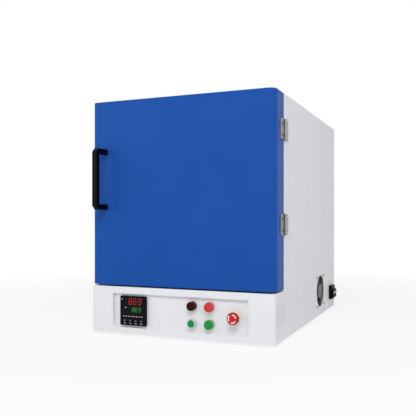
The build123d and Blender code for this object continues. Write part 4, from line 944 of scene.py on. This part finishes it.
# The skirts' colours are paler than the lenses': painted light for the light that comes through them.
lamp_skirt("red_lamp_lens", "red_lamp_skirt", tone(206, 84, 78), (1.0, 0.2, 0.15))
lamp_skirt("green_lamp_lens", "green_lamp_skirt", tone(96, 178, 118), (0.1, 1.0, 0.3))

# %% [markdown]
# ## Emergency stop
# The mushroom head has a shallow dish, and in it three white arrows that show which way it is turned to
# release. An arrow starts as a flat one: a line of corners, the middle row of a grid, is spun round the
# middle, and a triangle is added at its end. Spin turns clockwise, so the tip's angle is below zero. Then a
# modifier presses the arrows onto the curved head, and another gives them the thickness of an inlay.

# %% A flat arrow for the emergency stop
ARROW_R = 12.3 * MM
ARROW_W = 3.2 * MM
ARROW_T = 0.2 * MM
ARROW_LIFT = 0.05 * MM
ARROW_TURN = radians(56)
ARROW_TIP = radians(7)
ARROW_TIP_R = 3.6 * MM
ARROW_MIDDLES = (radians(55), radians(180), radians(300))
SPUN_STEPS = 14
tip_turn = -(ARROW_TURN + ARROW_TIP)

bpy.ops.mesh.primitive_grid_add(x_subdivisions=4, y_subdivisions=2, size=1.0, location=(ARROW_R, 0, 0))
strip = bpy.context.object
strip.scale = (ARROW_W, ARROW_W, 1.0)
settle(strip)
choose(strip, "VERT", lambda corner: abs(corner.co.y) > SAME_PLACE)
bpy.ops.mesh.delete(type="VERT")
choose(strip, "EDGE", lambda edge: True)
bpy.ops.mesh.spin(steps=SPUN_STEPS, angle=ARROW_TURN, center=(0, 0, 0), axis=(0, 0, 1))
settle(strip)
bpy.ops.mesh.primitive_circle_add(vertices=3, radius=ARROW_TIP_R, fill_type="NGON",
                                  location=(ARROW_R * cos(tip_turn), ARROW_R * sin(tip_turn), 0),
                                  rotation=(0, 0, tip_turn + pi))
tip = settle(bpy.context.object)
choose(tip, "FACE", lambda face: True)
bpy.ops.mesh.subdivide(number_cuts=4)
arrow = one_piece(tip, strip)
print("one flat arrow", len(arrow.data.polygons), "faces")

# %% Arrows pressed onto the head
before_head = middle_of("estop_head")
before_head.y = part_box("estop_head")[0].y - ARROW_W
arrows = [turned_copy(arrow, middle - tip_turn / 2, before_head, FRONT) for middle in ARROW_MIDDLES]
discard(arrow)
inlay = one_piece(*arrows)
choose(inlay, "FACE", lambda face: True)
bpy.ops.mesh.remove_doubles(threshold=0.001 * MM)
bpy.ops.mesh.normals_make_consistent(inside=False)
only(inlay)
press = inlay.modifiers.new("press", "SHRINKWRAP")
press.target = nodes["estop_head"]
press.wrap_method = "PROJECT"
press.wrap_mode = "ON_SURFACE"
press.use_project_y = True
press.use_positive_direction = True
press.use_negative_direction = False
press.offset = ARROW_LIFT
thicken = inlay.modifiers.new("inlay", "SOLIDIFY")
thicken.thickness = ARROW_T
thicken.offset = 0.0
for modifier in (press.name, thicken.name):
    bpy.ops.object.modifier_apply(modifier=modifier)
choose(inlay, "FACE", lambda face: True)
bpy.ops.mesh.normals_make_consistent(inside=False)
white_inlay = moulded("white_inlay", tone(240, 236, 234), 0.4)
hand_over(inlay, "release_arrows", white_inlay, "estop_head")

# %% [markdown]
# ## Mains switch
# The switch box carries the two signs that every switch may have: a bar for on above the toggle and a ring
# for off below it. On the step over the toggle sit the three clamp screws of its terminals.

# %% Signs and clamp screws of the mains switch
switch_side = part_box("mains_breaker")[1].x
switch_middle = middle_of("mains_breaker")
ON_BAR = (5.0 * MM, 1.2 * MM)
OFF_RING_R = 2.0 * MM
NOSE_DROP = 5.0 * MM
SIGN_AWAY = 14.0 * MM
CLAMP_PITCH = 18.0 * MM
CLAMP_RISE = 21.0 * MM
CLAMP_STEP = 6.0 * MM
nose_z = switch_middle.z - NOSE_DROP

on_mark = mark(*ON_BAR)
off_mark = flat_ring(OFF_RING_R)
signs = [turned_copy(on_mark, pi / 2, (switch_side, switch_middle.y, nose_z + SIGN_AWAY), RIGHT),
         placed(off_mark, (switch_side, switch_middle.y, nose_z - SIGN_AWAY), RIGHT)]
discard(on_mark, off_mark)
hand_over(one_piece(*signs), "switch_signs", white_print, "cabinet")

clamp = cross_screw(radius=3.0 * MM, height=1.0 * MM, dome=0.5 * MM, shank_radius=1.8 * MM,
                    shank_length=3.0 * MM)
clamps = []
for number in (-1, 0, 1):
    along, up = switch_middle.y + number * CLAMP_PITCH, switch_middle.z + CLAMP_RISE
    clamps.append(placed(clamp, (switch_side - CLAMP_STEP, along, up), RIGHT))
discard(clamp)
hand_over(one_piece(*clamps), "clamp_screws", dark_steel, "cabinet")

# %% [markdown]
# ## Door seal
# A glass rope runs round the throat on the door's back. It is drawn as a rounded frame: a plane with
# bevelled corners, of which only the outline stays. The outline becomes a curve with a round section, the
# curve becomes a mesh again, and the mesh is pressed flat, as a rope between two plates is.

# %% Door seal
seal_low, seal_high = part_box("door_gasket")
seal_size = seal_high - seal_low
ROPE_W = 14.0 * MM
ROPE_CORNER = 17.0 * MM

bpy.ops.mesh.primitive_plane_add(size=1.0)
outline = bpy.context.object
outline.scale = (seal_size.x - ROPE_W, seal_size.z - ROPE_W, 1.0)
settle(outline)
choose(outline, "VERT", lambda corner: True)
bpy.ops.mesh.bevel(offset=ROPE_CORNER, segments=8, affect="VERTICES")
bpy.ops.mesh.select_all(action="SELECT")
bpy.ops.mesh.delete(type="ONLY_FACE")
settle(outline)
bpy.ops.object.convert(target="CURVE")
rope = bpy.context.object
rope.data.bevel_depth = ROPE_W / 2
rope.data.bevel_resolution = 4
bpy.ops.object.convert(target="MESH")
rope = bpy.context.object
rope.scale = (1.0, 1.0, seal_size.y / ROPE_W)
settle(rope)
rope.location = middle_of("door_gasket")
rope.rotation_euler = FRONT
hand_over(rope, "door_seal_rope", finishes["fibre_rope"], "door", "door_gasket")

# %% [markdown]
# ## Inside the chamber
# The heating strips lie in shallow pockets of the side walls, held by wire staples. A staple is a thin
# ring, pressed oval, of which the half inside the wall is cut away by a bisecting plane. There are four on
# each run.

# %% A staple for the heating strips
STRIP_W = 9.0 * MM
STRIP_T = 2.0 * MM
RUNS = 6
STAPLES_ALONG = 4
STAPLE_R = 5.6 * MM
STAPLE_WIRE = 0.8 * MM
STAPLE_MARGIN = 70.0 * MM
STAPLE_PRESS = 0.6

bpy.ops.mesh.primitive_torus_add(major_radius=STAPLE_R, minor_radius=STAPLE_WIRE, major_segments=24,
                                 minor_segments=8)
staple = bpy.context.object
staple.scale = (STAPLE_PRESS, 1.0, 1.0)
settle(staple)
choose(staple, "FACE", lambda face: True)
bpy.ops.mesh.bisect(plane_co=(0, 0, 0), plane_no=(1, 0, 0), clear_inner=True, use_fill=True)
settle(staple)
print("one staple", len(staple.data.polygons), "faces")

# %% A staple at each place
back_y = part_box("insulation_right")[1].y
staples = []
for side, name in ((1, "right_element"), (-1, "left_element")):
    low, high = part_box(name)
    wall_x = high.x if side > 0 else low.x
    turn = (pi / 2, 0.0, pi if side > 0 else 0.0)
    first_z, last_z = low.z + STRIP_W / 2, high.z - STRIP_W / 2
    first_y, last_y = low.y + STAPLE_MARGIN, back_y - STAPLE_MARGIN
    for run in range(RUNS):
        z = first_z + run * (last_z - first_z) / (RUNS - 1)
        for number in range(STAPLES_ALONG):
            y = first_y + number * (last_y - first_y) / (STAPLES_ALONG - 1)
            staples.append(placed(staple, (wall_x - side * STRIP_T / 2, y, z), turn))
discard(staple)
hand_over(one_piece(*staples), "element_staples", finishes["heating_alloy"], "cabinet")

# %% [markdown]
# ## Cable gland
# At the rear the mains cable comes in through a gland. Its nut has fine grip ribs all round, and a rubber
# ring in its mouth closes on the cable. A rib is a small sphere whose two halves are moved apart, and half
# of it is sunk in the nut.

# %% Ribs and seal of the cable gland
gland_middle = middle_of("cable_gland")
mouth_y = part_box("cable_gland")[1].y
RIBS = 20
RIB_END_R = 0.8 * MM
RIB_R = 11.9 * MM
RIB_LENGTH = 11.0 * MM
RIB_FROM_MOUTH = 11.5 * MM
SEAL_R = 5.3 * MM
SEAL_WIRE = 1.3 * MM
SEAL_FROM_MOUTH = 1.6 * MM

bpy.ops.mesh.primitive_uv_sphere_add(segments=12, ring_count=8, radius=RIB_END_R)
rib = bpy.context.object
for side in (-1, 1):
    choose(rib, "VERT", lambda corner: side * corner.co.z > SAME_PLACE)
    bpy.ops.transform.translate(value=(0, 0, side * RIB_LENGTH / 2))
settle(rib)
ribs = []
for number in range(RIBS):
    turn = 2 * pi * number / RIBS
    right, up = gland_middle.x + RIB_R * cos(turn), gland_middle.z + RIB_R * sin(turn)
    ribs.append(placed(rib, (right, mouth_y - RIB_FROM_MOUTH, up), REAR))
discard(rib)
hand_over(one_piece(*ribs), "gland_ribs", finishes["black_plastic"], "cabinet")

seal_place = (gland_middle.x, mouth_y - SEAL_FROM_MOUTH, gland_middle.z)
bpy.ops.mesh.primitive_torus_add(major_radius=SEAL_R, minor_radius=SEAL_WIRE, major_segments=40,
                                 minor_segments=12, location=seal_place, rotation=REAR)
hand_over(bpy.context.object, "gland_seal", finishes["foot_rubber"], "cabinet")
